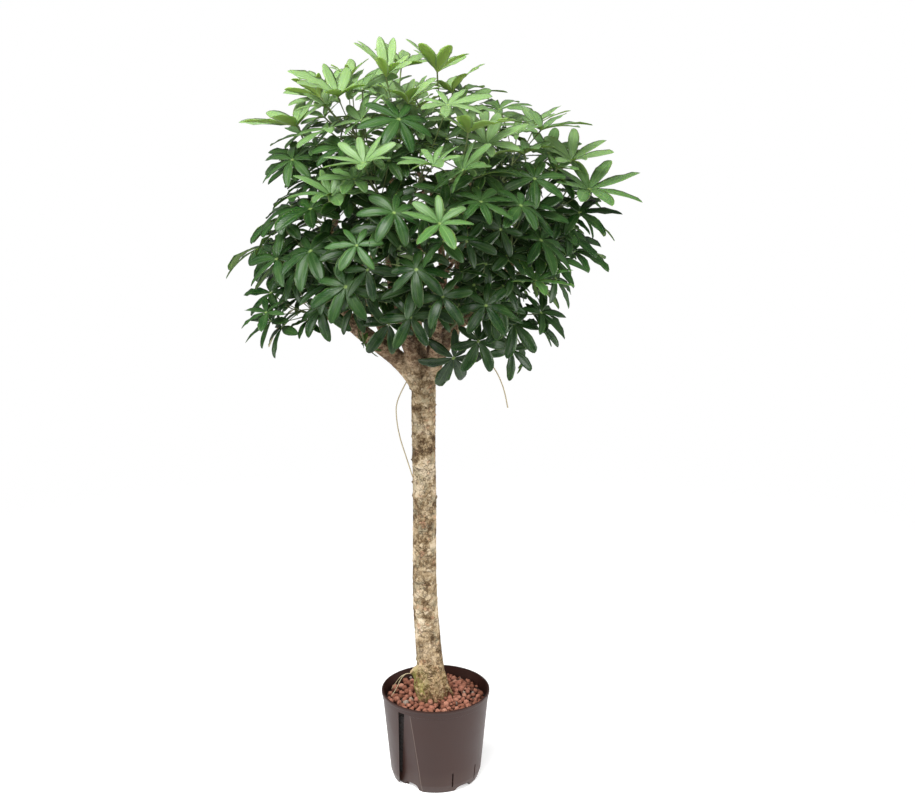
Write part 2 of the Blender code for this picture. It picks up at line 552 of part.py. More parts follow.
def build_pot():
    shell = turned("pot", [(0.0, 0.0), (FOOT_R - 0.002, 0.0), (FOOT_R, 0.002), (BAND_R, BAND_Z), (BODY_TOP_R, POT_H - LIP_H),
                           (RIM_R, POT_H - LIP_H), (RIM_R, POT_H - 0.001), (RIM_R - 0.001, POT_H), (0.0, POT_H)], POT_SIDES)
    cavity = turned("cavity", inner_profile(0.0, POT_H + 0.01), POT_SIDES)
    combine(cavity, [recess("recess_inner", WALL)], 'DIFFERENCE')
    cuts = [cavity, recess("recess_outer", 0.0)]
    cuts.append(gauge_slot("gauge_slot"))
    for k in range(8):
        cuts.append(radial_box("drain_slot", 21 + 36 * k, 0.078, 0.104, 0.0030, 0.012, 0.044))
    for deg in (39, 111, 183, 255, 327):
        cuts.append(radial_box("foot_arch", deg, 0.0790, 0.100, 0.032, -0.004, 0.0092))
    for cut in cuts:
        combine(shell, [cut], 'DIFFERENCE')
    return dress(shell, material("pot_plastic", (0.085, 0.066, 0.062), 0.5))


# ---- clay granules ------------------------------------------------------------------------------
def trunk_shape(extra):
    """Points and radii of the trunk, with the swollen root lobes of its foot."""
    pts = [Vector(p[:3]) for p in TRUNK]
    verts, faces = tube(pts, [p[3] + extra for p in TRUNK], TRUNK_SIDES)
    return verts, faces


def build_clay():
    bed = turned("clay_granules", inner_profile(GAP * 1.2, CLAY_Z), POT_SIDES)
    rng = random.Random(41)
    pellets, spots = [], []
    tries = 0
    while len(pellets) < 42 and tries < 9000:
        tries += 1
        r = 0.0985 * math.sqrt(rng.random())
        a = rng.uniform(0, 2 * math.pi)
        size = rng.uniform(0.0080, 0.0102)
        x, y = r * math.cos(a), r * math.sin(a)
        if r + size > wall_radius(CLAY_Z) - WALL - 0.0012 or math.hypot(x + 0.006, y) < 0.032 + size * 0.5:
            continue
        if any(math.hypot(x - p[0], y - p[1]) < (size + p[2]) * 0.86 for p in spots):
            continue
        spots.append((x, y, size))
        mesh = bpy.data.meshes.new("pellet")
        bm = bmesh.new()
        bmesh.ops.create_icosphere(bm, subdivisions=1, radius=size)
        spin = rng.uniform(0, 6.28)
        flat = rng.uniform(0.72, 0.92)
        for vert in bm.verts:
            c = vert.co
            vert.co = (x + c.x * math.cos(spin) - c.y * math.sin(spin), y + c.x * math.sin(spin) + c.y * math.cos(spin),
                       CLAY_Z + 0.0030 * (1 - (r / 0.1) ** 2) + rng.uniform(-0.0002, 0.0002) + c.z * flat)
        bm.to_mesh(mesh)
        bm.free()
        pellet = bpy.data.objects.new("pellet", mesh)
        bpy.context.scene.collection.objects.link(pellet)
        pellets.append(pellet)
    combine(bed, pellets, 'UNION')
    combine(bed, [recess("recess_bed", WALL + GAP * 1.3)], 'DIFFERENCE')
    hole_pts = [Vector((-0.006, 0.0, SOCKET_Z)), Vector((-0.006, 0.0, 0.150)), Vector((-0.007, 0.0, 0.200))]
    hole = body("hole", *tube(hole_pts, [0.0313, 0.0323, 0.0323], 24))
    combine(bed, [hole], 'DIFFERENCE')
    return dress(bed, material("fired_clay", (0.36, 0.125, 0.085), 0.9))


# ---- trunk, limbs and twigs ----------------------------------------------------------------------
def build_trunk(lines):
    trunk = body("trunk", *trunk_shape(0.0))
    parts = []
    for (name, _), (pts, radii) in zip(LIMBS, limb_lines()):
        sides = 8 if radii[1] > 0.014 else 6
        parts.append(body(name, *tube(pts, radii, sides)))
    for start, bend, tip, base_r in lines:
        pts = [bezier(start, bend, tip, t) for t in (0.0, 0.22, 0.45)]
        parts.append(body("twig", *tube(pts, [shoot_radius(base_r, t) for t in (0.0, 0.22, 0.45)], 5)))
    for pts in ROOT_LOBES:
        parts.append(body("root_lobe", *tube([Vector(p[:3]) for p in pts], [p[3] for p in pts], 6)))
    for pts, radii in root_lines():
        parts.append(body("aerial_root", *tube(pts, radii, 4)))
    combine(trunk, parts, 'UNION')
    return dress(trunk, material("bark", (0.42, 0.33, 0.22), 0.85))



# ---- leafy shoots ----------------------------------------------------------------------------------
def build_shoots(lines, leaves):
    old = material("leaf_dark", (0.035, 0.115, 0.045), 0.35)
    new = material("leaf_pale", (0.16, 0.36, 0.09), 0.4)
    for s, (start, bend, tip, base_r) in enumerate(lines):
        cut = 0.45
        first = bezier(start, bend, tip, cut)
        along = (bezier(start, bend, tip, cut) - bezier(start, bend, tip, 0.22)).normalized()
        pts = [first + along * GAP] + [bezier(start, bend, tip, t) for t in (0.63, 0.82, 1.0)]
        stem = body("shoot_%02d" % (s + 1), *tube(pts, [shoot_radius(base_r, t) for t in (cut, 0.63, 0.82, 1.0)], 4))
        own = [leaf for leaf in leaves if leaf[0] == s]
        parts = [body("leaf", *leaf_shape(stalk, normal, leaflets, 0.0007, 0.0011, bent))
                 for _, _, stalk, normal, leaflets, _, bent in own]
        if parts:
            combine(stem, parts, 'UNION')
        fresh = max((leaf[5] for leaf in own), default=0.0)
        dress(stem, new if fresh > 0.55 else old)


crown_lines, crown_leaves = grow_crown()
build_pot()
build_clay()
build_trunk(crown_lines)
build_shoots(crown_lines, crown_leaves)
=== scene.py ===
import json
import math
import random

import bmesh
import bpy
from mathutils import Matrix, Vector, noise
from mathutils.bvhtree import BVHTree

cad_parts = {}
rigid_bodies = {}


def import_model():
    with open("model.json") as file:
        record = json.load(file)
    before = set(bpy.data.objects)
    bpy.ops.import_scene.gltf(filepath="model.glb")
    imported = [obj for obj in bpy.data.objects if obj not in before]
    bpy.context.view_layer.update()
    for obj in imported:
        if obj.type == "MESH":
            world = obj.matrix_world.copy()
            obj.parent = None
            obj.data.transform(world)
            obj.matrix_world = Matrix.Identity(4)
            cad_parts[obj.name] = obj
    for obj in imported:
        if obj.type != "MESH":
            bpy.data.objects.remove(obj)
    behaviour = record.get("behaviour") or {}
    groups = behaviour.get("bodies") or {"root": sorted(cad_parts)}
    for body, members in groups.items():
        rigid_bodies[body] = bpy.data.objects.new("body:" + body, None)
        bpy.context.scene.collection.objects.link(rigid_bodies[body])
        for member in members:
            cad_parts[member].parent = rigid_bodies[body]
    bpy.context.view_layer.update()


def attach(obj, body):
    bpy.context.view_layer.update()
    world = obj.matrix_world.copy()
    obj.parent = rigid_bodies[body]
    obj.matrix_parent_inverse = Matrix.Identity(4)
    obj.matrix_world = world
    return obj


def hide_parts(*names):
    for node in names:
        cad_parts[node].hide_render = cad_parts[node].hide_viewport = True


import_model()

# ---- studio ------------------------------------------------------------------------------------
# A pale floor that fades out into a white room, wide soft lights from above, the front and both
# sides, and a camera at standing height about 2.7 m in front of the plant.
FLOOR_REACH = 4.5
FLOOR_SIDES = 96
WHITE = (1.0, 1.0, 1.0, 1.0)


def srgb(red, green, blue):
    """A colour written as on a colour card, 0 to 255, as the linear colour that a material takes."""
    return tuple(c / 255 / 12.92 if c <= 10 else ((c / 255 + 0.055) / 1.055) ** 2.4
                 for c in (red, green, blue)) + (1.0,)


def add(tree, kind, given=(), output=0, **settings):
    """One node: its settings, its inputs in order or by name, and the value that it gives."""
    made = tree.nodes.new(kind)
    for name, value in settings.items():
        setattr(made, name, value)
    for key, value in (given.items() if isinstance(given, dict) else enumerate(given)):
        if isinstance(value, Value):
            tree.links.new(value.socket, made.inputs[key])
        elif value is not None:
            made.inputs[key].default_value = value
    return Value(tree, made.outputs[output]) if made.outputs else None


class Value:
    """A number, colour or place inside a node tree, and the ways to reckon with it."""

    def __init__(self, tree, socket):
        self.tree, self.socket = tree, socket

    def calc(self, operation, *others):
        return add(self.tree, "ShaderNodeMath", (self, *others), operation=operation)

    def __add__(self, other):
        return self.calc('ADD', other)

    def __sub__(self, other):
        return self.calc('SUBTRACT', other)

    def __mul__(self, other):
        return self.calc('MULTIPLY', other)

    def __truediv__(self, other):
        return self.calc('DIVIDE', other)

    def vector(self, operation, other=None, output=0):
        given = {0: self, "Scale" if operation == 'SCALE' else 1: other}
        return add(self.tree, "ShaderNodeVectorMath", given, output, operation=operation)

    def parts(self):
        whole = add(self.tree, "ShaderNodeSeparateXYZ", (self,))
        return [Value(self.tree, socket) for socket in whole.socket.node.outputs]

    def mask(self, low, high, most, least=0.0, **settings):
        """From least, where the value is low, to most, where it is high."""
        return add(self.tree, "ShaderNodeMapRange", (self, low, high, least, most), **settings)

    def mix(self, under, over, blend='MIX'):
        """One colour over another, as thickly as the value says."""
        under, over = (srgb(*c) if isinstance(c, tuple) and len(c) == 3 else c for c in (under, over))
        given = {0: self, 6: under, 7: over}
        return add(self.tree, "ShaderNodeMix", given, 2, data_type='RGBA', blend_type=blend)

    def ramp(self, *stops):
        """Colours along the value, each as its place and its red, green and blue."""
        found = add(self.tree, "ShaderNodeValToRGB", (self,))
        bar = found.socket.node.color_ramp.elements
        bar[0].position, bar[1].position = stops[0][0], stops[-1][0]
        for place, *_ in stops[1:-1]:
            bar.new(place)
        for stop, (_, *colour) in zip(bar, stops):
            stop.color = srgb(*colour)
        return found

    def noise(self, scale, detail, roughness=0.5, output=0):
        return add(self.tree, "ShaderNodeTexNoise",
                   {"Vector": self, "Scale": scale, "Detail": detail, "Roughness": roughness}, output)

    def cells(self, scale, output="Distance", **settings):
        return add(self.tree, "ShaderNodeTexVoronoi", {"Vector": self, "Scale": scale}, output, **settings)

    def held(self, name, output="Vector"):
        """Another value of the same tree: what a mesh attribute holds."""
        return add(self.tree, "ShaderNodeAttribute", (), output, attribute_name=name)


def blank_material(name):
    """An empty material and its object coordinates."""
    mat = bpy.data.materials.new(name)
    mat.use_nodes = True
    mat.node_tree.nodes.clear()
    return mat, add(mat.node_tree, "ShaderNodeTexCoord", output="Object")


def coat(mat, given, relief=None):
    """The Principled shader of a material, and its relief as strength, distance and height."""
    if relief:
        relief = dict(zip(("Strength", "Distance", "Height"), relief))
        given["Normal"] = add(mat.node_tree, "ShaderNodeBump", relief)
    shader = add(mat.node_tree, "ShaderNodeBsdfPrincipled", given)
    add(mat.node_tree, "ShaderNodeOutputMaterial", (shader,))
    return mat


def stand(name, data):
    """A new object in the scene, for a mesh, a lamp or a camera."""
    obj = bpy.data.objects.new(name, data)
    bpy.context.scene.collection.objects.link(obj)
    return obj


def new_object(name, verts, faces=(), edges=()):
    mesh = bpy.data.meshes.new(name)
    mesh.from_pydata([tuple(v) for v in verts], edges, faces)
    return stand(name, mesh)


def turns(n):
    """Bearings that share out a full turn."""
    return [2 * math.pi * k / n for k in range(n)]


def studio_floor():
    ring = [(math.cos(a) * FLOOR_REACH, math.sin(a) * FLOOR_REACH, 0.0) for a in turns(FLOOR_SIDES)]
    floor = new_object("studio_floor", ring, [tuple(range(FLOOR_SIDES))])
    mat, spot = blank_material("pale_floor")
    fade = spot.vector('LENGTH', output="Value").mask(0.25, 2.2, 0.0, 1.0, interpolation_type='SMOOTHSTEP')
    tint = spot.noise(3.0, 2.0).mix((0.93, 0.93, 0.93, 1), (0.95, 0.95, 0.95, 1))
    floor.data.materials.append(coat(mat, {"Base Color": tint, "Alpha": fade, "Roughness": 0.9,
                                           "Specular IOR Level": 0.1, "Emission Color": WHITE,
                                           "Emission Strength": 0.34}))


def soft_light(name, place, target_z, size, power):
    lamp = bpy.data.lights.new(name, 'AREA')
    lamp.shape, lamp.size, lamp.energy = 'DISK', size, power
    obj = stand(name, lamp)
    obj.location = place
    obj.rotation_euler = (Vector((0, 0, target_z)) - Vector(place)).to_track_quat('-Z', 'Y').to_euler()


def white_room(lit, seen):
    world = bpy.data.worlds.new("white_room")
    bpy.context.scene.world = world
    world.use_nodes = True
    tree = world.node_tree
    tree.nodes.clear()
    dim, plain = (add(tree, "ShaderNodeBackground", (WHITE, strength)) for strength in (lit, seen))
    looked = add(tree, "ShaderNodeLightPath", output="Is Camera Ray")
    add(tree, "ShaderNodeOutputWorld", (add(tree, "ShaderNodeMixShader", (looked, dim, plain)),))


eye = bpy.data.cameras.new("camera")
eye.sensor_width, eye.lens = 36.0, 56.8
camera = stand("camera", eye)
camera.location = (0.0, -2.7, 1.51)
camera.rotation_euler = (math.radians(90 - 14.98), 0.0, math.radians(-0.95))
bpy.context.scene.camera = camera
bpy.context.scene.view_settings.view_transform = 'Standard'

studio_floor()
white_room(0.26, 1.0)
soft_light("overhead", (-0.6, -1.2, 3.1), 1.0, 1.6, 116)
soft_light("front", (0.4, -3.4, 2.0), 0.7, 1.6, 44)
soft_light("left_side", (-2.4, -0.6, 1.4), 0.9, 1.4, 46)
soft_light("right_side", (2.4, -0.4, 1.0), 0.75, 1.4, 52)

# ---- pot ---------------------------------------------------------------------------------------
# A 22 cm culture pot for hydroculture, injection moulded in one piece from brown-grey plastic:
# thin tapered wall, flat lip, bevelled foot with five arches, a flat recess for the water gauge with
# a long slot, and short slots round the foot that let the water in.
UP = Vector((0.0, 0.0, 1.0))
POT_H = 0.19
RIM_R = 0.11
LIP_H = 0.006
BODY_TOP_R = 0.1082
BAND_Z, BAND_R = 0.017, 0.0928
FOOT_R = 0.088
WALL = 0.0022
FOOT_H = 0.01               # the floor stands off the ground on a ring foot
FLOOR_T = 0.013             # height of the upper side of the floor
POT_STEPS = 112
RECESS_X = -0.0743          # the recess's left wall
RECESS_TOP = POT_H - 0.014
STEP_Z = POT_H - 0.0165     # where the wall steps out under the lip, and the long slot ends
DRAIN = [(-0.0015, 0.012), (0.0015, 0.012), (0.0015, 0.044), (-0.0015, 0.044)]
ARCH = [(0.019, -0.004), (0.0186, 0.003), (0.0158, 0.0068), (0.0115, 0.009), (0.005, 0.0098)]
ARCH += [(-s, z) for s, z in reversed(ARCH)]
ARCH_TURNS = (39, 111, 183, 255, 322)


def layered(colour, *coats):
    """A colour under further coats, each as how thick it lies, its colour and how it blends."""
    for thick, *coat in coats:
        colour = thick.mix(colour, *coat)
    return colour


def band(a, b, n):
    """Faces between two rings of n points, from the numbers of their first points."""
    return [(a + k, a + (k + 1) % n, b + (k + 1) % n, b + k) for k in range(n)]


def apply_modifiers(obj):
    deps = bpy.context.evaluated_depsgraph_get()
    mesh = bpy.data.meshes.new_from_object(obj.evaluated_get(deps))
    obj.modifiers.clear()
    old = obj.data
    obj.data = mesh
    bpy.data.meshes.remove(old)
    mesh.name = obj.name
    return obj


def face_out(obj):
    bm = bmesh.new()
    bm.from_mesh(obj.data)
    bmesh.ops.remove_doubles(bm, verts=bm.verts, dist=1e-6)
    bmesh.ops.recalc_face_normals(bm, faces=bm.faces)
    bm.to_mesh(obj.data)
    bm.free()
    return obj


def turned(name, profile, steps):
    """A solid of revolution from (radius, height) points that start and end on the axis."""
    edges = [(i, i + 1) for i in range(len(profile) - 1)]
    obj = new_object(name, [(r, 0.0, z) for r, z in profile], (), edges)
    spin = obj.modifiers.new("turn", 'SCREW')
    spin.steps = spin.render_steps = steps
    spin.use_merge_vertices = True
    spin.merge_threshold = 0.00001
    return face_out(apply_modifiers(obj))


def carve(obj, cutters):
    """Cut solids from an object, one after the other, and remove them."""
    for cutter in cutters:
        mod = obj.modifiers.new("cut", 'BOOLEAN')
        mod.operation = 'DIFFERENCE'
        mod.object = cutter
        mod.solver = 'EXACT'
        apply_modifiers(obj)
        bpy.data.objects.remove(cutter, do_unlink=True)
    return obj


def dress(obj, mat, angle=None):
    """A single material, and shading that is smooth but for edges over an angle in degrees."""
    obj.data.shade_smooth()
    if angle:
        obj.data.set_sharp_from_angle(angle=math.radians(angle))
    obj.data.materials.clear()
    obj.data.materials.append(mat)


def wall_radius(z):
    if z < BAND_Z:
        return FOOT_R + (BAND_R - FOOT_R) * z / BAND_Z
    return BAND_R + (BODY_TOP_R - BAND_R) * (z - BAND_Z) / (POT_H - LIP_H - BAND_Z)


def front_angle(deg):
    a = math.radians(deg)
    return Vector((math.sin(a), -math.cos(a), 0.0))


def block(name, corners, split=False):
    """A solid between two outlines of like corners, its sides split where they twist."""
    n = len(corners) // 2
    sides = band(0, n, n)
    if split:
        sides = [half for a, b, c, d in sides for half in ((a, b, c), (a, c, d))]
    ends = [tuple(reversed(range(n))), tuple(range(n, 2 * n))]
    return face_out(new_object(name, corners, ends + sides))


def recess(name, grow):
    """Wedge that cuts the flat recess for the water gauge. Its left wall runs straight back; its
    floor leans inwards towards the foot and comes out of the pot's wall on the right."""
    corners = []
    for z, right, depth in ((-0.004, 18.0, 0.011), (RECESS_TOP + grow, 29.0, 0.0048)):
        r = wall_radius(max(z, 0.0))
        out, beside = front_angle(-right), front_angle(90 - right)
        edge = out * (r - 0.0016 - grow) + beside * grow
        left = Vector((RECESS_X - grow, depth + grow - math.sqrt(r * r - RECESS_X ** 2), 0.0))
        corners += [(p.x, p.y, z) for p in (left, edge, edge + out * 0.03, left - Vector((0.0, 0.05, 0.0)))]
    return block(name, corners, split=True)


def gauge_slot():
    """The long slot beside the recess's left wall, a little narrower at its foot."""
    left = RECESS_X + 0.0004
    return block("gauge_slot", [(x, y, z) for z, width in ((0.024, 0.0056), (STEP_Z, 0.0112)) for x, y in (
        (left, -0.1), (left + width, -0.1), (left + width, -0.028), (left, -0.028))])


def punch(name, deg, near, far, outline):
    """A prism to cut through the wall at a bearing, its outline given as (across, height)."""
    out, side = front_angle(deg), front_angle(deg + 90)
    return block(name, [out * r + side * s + UP * z for r in (near, far) for s, z in outline])


def inner_profile(shrink, top_z):
    """Inside of the pot from its floor to a height, drawn in by a clearance."""
    low_r, low_z = BAND_R - 0.003, BAND_Z + 0.008
    top_r = low_r + (BODY_TOP_R - WALL - low_r) * (top_z - low_z) / (POT_H - LIP_H - low_z)
    return [(0.0, FLOOR_T + shrink), (0.072 - shrink, FLOOR_T + shrink), (low_r - shrink, low_z),
            (top_r - shrink, top_z), (0.0, top_z)]


def moulded_plastic():
    mat, spot = blank_material("pot_plastic")
    cloud = spot.noise(14.0, 5.0, 0.6)
    x, y, level = spot.parts()
    # splashed scale lies on the foot, and a painted highlight runs along the recess's right edge, where its
    # bevel would catch the light
    splashed = level.mask(0.05, 0.0, 0.35) * cloud
    edge = level.mask(-0.004, RECESS_TOP, math.radians(-28.6), math.radians(-17.6))
    off = (x.calc('ARCTAN2', y * -1.0) - edge).calc('ABSOLUTE')
    edge_highlight = off.mask(0.01, 0.003, 0.55) * level.mask(RECESS_TOP, RECESS_TOP - 0.004, 1.0)
    # the plastic's own colour, its scale and the painted edge highlight
    scaled_and_highlit = layered(cloud.mix((40, 20, 15), (50, 28, 22)), (splashed, (86, 72, 64)), (edge_highlight, (112, 98, 90)))
    return coat(mat, {"Base Color": scaled_and_highlit, "Specular IOR Level": 0.33,
                      "Roughness": cloud.mask(0.3, 0.7, 0.52, 0.4)}, (0.12, 0.0004, spot.noise(900.0, 2.0)))


def make_pot():
    lip_z = POT_H - LIP_H
    step_r = wall_radius(STEP_Z)
    shell = turned("culture_pot", [
        (0.0, FOOT_H), (FOOT_R - 0.0135, FOOT_H), (FOOT_R - 0.013, 0.0), (FOOT_R - 0.0024, 0.0),
        (FOOT_R - 0.0009, 0.0006), (FOOT_R, 0.0022), (BAND_R - 0.0006, BAND_Z - 0.0016), (BAND_R, BAND_Z),
        (wall_radius(BAND_Z + 0.002), BAND_Z + 0.002), (step_r, STEP_Z), (step_r + 0.0006, STEP_Z + 0.0005),
        (wall_radius(lip_z - 0.0006) + 0.0004, lip_z - 0.0006), (RIM_R - 0.0003, lip_z),
        (RIM_R, lip_z + 0.0005), (RIM_R, POT_H - 0.0012), (RIM_R - 0.0004, POT_H - 0.0003),
        (RIM_R - 0.0012, POT_H), (0.0, POT_H)], POT_STEPS)
    cavity = turned("cavity", inner_profile(0.0, POT_H + 0.01), POT_STEPS)
    carve(cavity, [recess("recess_inner", WALL)])
    cuts = [cavity, recess("recess_outer", 0.0), gauge_slot()]
    cuts += [punch("drain_slot", 21 + 36 * k, 0.078, 0.104, DRAIN) for k in range(8)]
    cuts += [punch("foot_arch", deg, 0.074, 0.1, ARCH) for deg in ARCH_TURNS]
    carve(shell, cuts)
    dress(shell, moulded_plastic(), 32)
    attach(shell, "root")
    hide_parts("pot")


make_pot()

# ---- clay granules -----------------------------------------------------------------------------
# Expanded clay pellets, fired brick red, 6 to 16 mm, poured in to two centimetres under the rim.
# The lower ones lie in shade and are painted dark, and a few are grey.
GAP = 0.00035
CLAY_Z = 0.169
PELLET_SHAPES = 4
BED_ROWS, BED_SIDES = 9, 48
BED_HOLE = 0.031            # round the trunk
BED_SLOPE = 0.022           # the bed rises towards the back


def fired_clay():
    mat, spot = blank_material("fired_clay")
    skin = spot.noise(260.0, 5.0, 0.65)
    # painted shade: the lower a pellet lies in the sloping bed, the darker it is, as shade falls between the
    # pellets
    _, y, z = spot.parts()
    depth_shade = y.calc('MULTIPLY_ADD', -BED_SLOPE, z).mask(CLAY_Z + 0.0045, CLAY_Z - 0.0035, 0.8)
    tone = layered(
        spot.held("tone", "Fac").ramp(
            (0.0, 122, 76, 58), (0.3, 148, 96, 76), (0.65, 168, 112, 92), (0.9, 180, 126, 104),
            (0.965, 186, 134, 112), (0.975, 128, 122, 116), (1.0, 160, 142, 124)),
        (skin.mask(0.55, 0.3, 0.45), (110, 70, 56)), (skin.mask(0.62, 0.75, 0.35), (190, 150, 134)),
        # painted shade on the lower pellets
        (depth_shade, (52, 28, 20)))
    return coat(mat, {"Base Color": tone, "Roughness": 0.92, "Specular IOR Level": 0.25},
                (0.7, 0.0012, skin + spot.cells(900.0)))


def shaded_clay():
    """The packed clay under the top pellets, painted near black for the shade that it lies in."""
    mat, spot = blank_material("shaded_clay")
    lumps = spot.cells(110.0)
    return coat(mat, {"Base Color": lumps.mix((24, 14, 10), (8, 5, 4)), "Roughness": 0.95},
                (1.0, 0.003, lumps * -1.0))


def pellet_shape(name, seed):
    """One lumpy pellet of unit radius; the first is finer than the others."""
    bm = bmesh.new()
    bmesh.ops.create_icosphere(bm, subdivisions=2 if seed == 0 else 1, radius=1.0)
    if seed == 0:
        bmesh.ops.dissolve_limit(bm, angle_limit=0.3, verts=bm.verts, edges=bm.edges)
    for vert in bm.verts:
        vert.co *= 1.0 + 0.22 * noise.noise(vert.co * 0.9 + Vector((seed * 7.1, 3.0, 0.0)))
    mesh = bpy.data.meshes.new(name)
    bm.to_mesh(mesh)
    bm.free()
    mesh.shade_smooth()
    return bpy.data.objects.new(name, mesh)


def group_tree(name, **inputs):
    """An empty geometry tree, and the values of its inputs, the geometry first."""
    tree = bpy.data.node_groups.new(name, 'GeometryNodeTree')
    for label, kind in (("Geometry", "Geometry"), *inputs.items()):
        tree.interface.new_socket(label, in_out='INPUT', socket_type="NodeSocket" + kind)
    tree.interface.new_socket("Geometry", in_out='OUTPUT', socket_type='NodeSocketGeometry')
    given = tree.nodes.new("NodeGroupInput")
    return tree, [Value(tree, given.outputs[label]) for label in ("Geometry", *inputs)]


def finished(tree, geometry, material):
    """End a geometry tree with a plain mesh in one material."""
    real = add(tree, "GeometryNodeRealizeInstances", (geometry,))
    coloured = add(tree, "GeometryNodeSetMaterial", {"Geometry": real, "Material": material})
    add(tree, "NodeGroupOutput", (coloured,))
    return tree


def run_tree(obj, tree, **values):
    """Put a tree on an object with its input values, and keep the result as a plain mesh."""
    mod = obj.modifiers.new(tree.name, 'NODES')
    mod.node_group = tree
    for item in tree.interface.items_tree:
        if item.in_out == 'INPUT' and item.name in values:
            mod[item.identifier] = values[item.name]
    return apply_modifiers(obj)


def chance(tree, low, high, seed):
    """A number, or a vector, drawn for every point."""
    plain = not isinstance(low, tuple)
    given = {2 * plain: low, 2 * plain + 1: high, "Seed": seed}
    kind = 'FLOAT' if plain else 'FLOAT_VECTOR'
    return add(tree, "FunctionNodeRandomValue", given, int(plain), data_type=kind)


def join(first, *others):
    with bpy.context.temp_override(active_object=first, selected_editable_objects=[first, *others]):
        bpy.ops.object.join()
    return first


def pellet_tree():
    tree, (ground, pellets, spacing, small, large, seed, clay) = group_tree(
        "poured_pellets", Pellets="Collection", Spacing="Float", Smallest="Float", Largest="Float",
        Seed="Int", Material="Material")
    given = {"Mesh": ground, "Distance Min": spacing, "Density Max": 40000.0, "Seed": seed}
    points = add(tree, "GeometryNodeDistributePointsOnFaces", given, distribute_method='POISSON')
    given = {"Geometry": points, "Name": "tone", "Value": chance(tree, 0.0, 1.0, 8)}
    marked = add(tree, "GeometryNodeStoreNamedAttribute", given, data_type='FLOAT', domain='POINT')
    shapes = add(tree, "GeometryNodeCollectionInfo", {
        "Collection": pellets, "Separate Children": True, "Reset Children": True})
    form = chance(tree, (0.88, 0.84, 0.78), (1.22, 1.06, 1.0), 6)
    return finished(tree, add(tree, "GeometryNodeInstanceOnPoints", {
        "Points": marked, "Instance": shapes, "Pick Instance": True,
        "Rotation": chance(tree, (0.0, 0.0, 0.0), (6.28, 6.28, 6.28), 5),
        "Scale": form.vector('SCALE', chance(tree, small, large, seed))}), clay)


def clay_surface(name, level, reach):
    """The ground on which a layer of pellets lies: slightly mounded, cut round the trunk and recess."""
    verts, faces = [], []
    for i in range(BED_ROWS):
        f = i / (BED_ROWS - 1)
        r = BED_HOLE + (reach - BED_HOLE) * f
        for a in turns(BED_SIDES):
            x, y = r * math.cos(a) - 0.006 * (1 - f), r * math.sin(a)
            lump = noise.noise(Vector((x * 28, y * 28, 1.7))) * 0.0022
            verts.append(Vector((x, y, level + 0.004 * (1 - (r / 0.1) ** 2) + BED_SLOPE * y + lump)))
    for a in range(0, (BED_ROWS - 1) * BED_SIDES, BED_SIDES):
        for corners in band(a, a + BED_SIDES, BED_SIDES):
            mid = sum((verts[c] for c in corners), Vector()) / 4
            bearing = math.degrees(math.atan2(mid.x, -mid.y))
            if not -52 < bearing < -24 or math.hypot(mid.x, mid.y) <= 0.09:
                faces.append(corners)
    return new_object(name, verts, faces)


def make_clay():
    clay = fired_clay()
    bed = turned("clay_bed", inner_profile(GAP * 2, CLAY_Z - 0.006), 64)
    carve(bed, [recess("recess_bed", WALL + GAP * 3)])
    dress(bed, shaded_clay(), 40)
    shapes = bpy.data.collections.new("pellet_shapes")
    for k in range(PELLET_SHAPES):
        shapes.objects.link(pellet_shape("pellet_shape_%d" % k, k))
    tree = pellet_tree()
    pellets = join(*(run_tree(clay_surface("pellets_" + name, level, reach), tree, Pellets=shapes,
                              Spacing=spacing, Smallest=small, Largest=large, Seed=seed, Material=clay)
                     for name, level, reach, spacing, small, large, seed in (
                         ("lower", CLAY_Z - 0.0055, 0.0975, 0.0104, 0.0052, 0.0068, 3),
                         ("upper", CLAY_Z + 0.001, 0.096, 0.0122, 0.0044, 0.008, 11),
                         ("small", CLAY_Z + 0.0035, 0.0965, 0.015, 0.0028, 0.0042, 23))))
    pellets.name = pellets.data.name = "clay_pellets"
    for obj in list(shapes.objects):
        bpy.data.objects.remove(obj, do_unlink=True)
    for piece in (bed, pellets):
        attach(piece, "root")
        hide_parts("clay_granules")


make_clay()

# ---- trunk and limbs ---------------------------------------------------------------------------
# The woody plant in one growth: a bare trunk with ring scars and patchy pale bark, swollen roots
# at its foot, a fork with eight limbs and a sawn stub, twigs that carry the leafy shoots, and thin
# roots in the air and on the clay.
TRUNK_TOP = 0.83            # the bare part's end
FOOT_TOP = 0.27             # under this the bark is fibrous
FORK_TOP = 0.85             # over this there are no ring scars
VOXEL = 0.0023              # how finely trunk, limbs and roots are grown together
SCAR_REACH = 0.009          # how far over and under itself a ring scar shapes the bark
FULL_TURN = 6.2832
AERIAL_R = 0.0012
LONGEST = 0.3               # no shoot is longer
WOOD_ROOM, SHOOT_ROOM = 0.006, 0.011    # how near a shoot may come to a limb and to another shoot
TWIG_START, TWIG_END = 0.16, 0.45   # where a shoot leaves the wood and where it turns green
TIP_R = 0.0021


def metres(*rows):
    """Rows of points that are given in millimetres."""
    return [tuple(v / 1000 for v in row) for row in rows]


# trunk, in millimetres like all of these: middle x, y, z and radius
TRUNK = metres((-6, 0, 60.5, 30.5), (-6, 0, 150, 31.5), (-7, 0, 180, 31), (-8, 0, 204, 29.4),
    (-10, 0, 234, 27.2), (-15, 0, 295, 25.8), (-20, 1, 382, 24.6), (-21, 1, 468, 23.7), (-20, 0, 594, 23.1),
    (-21, 0, 697, 22.9), (-21, 0, 790, 23.8), (-20, 0, 835, 23.5), (-20, 0, 858, 17))

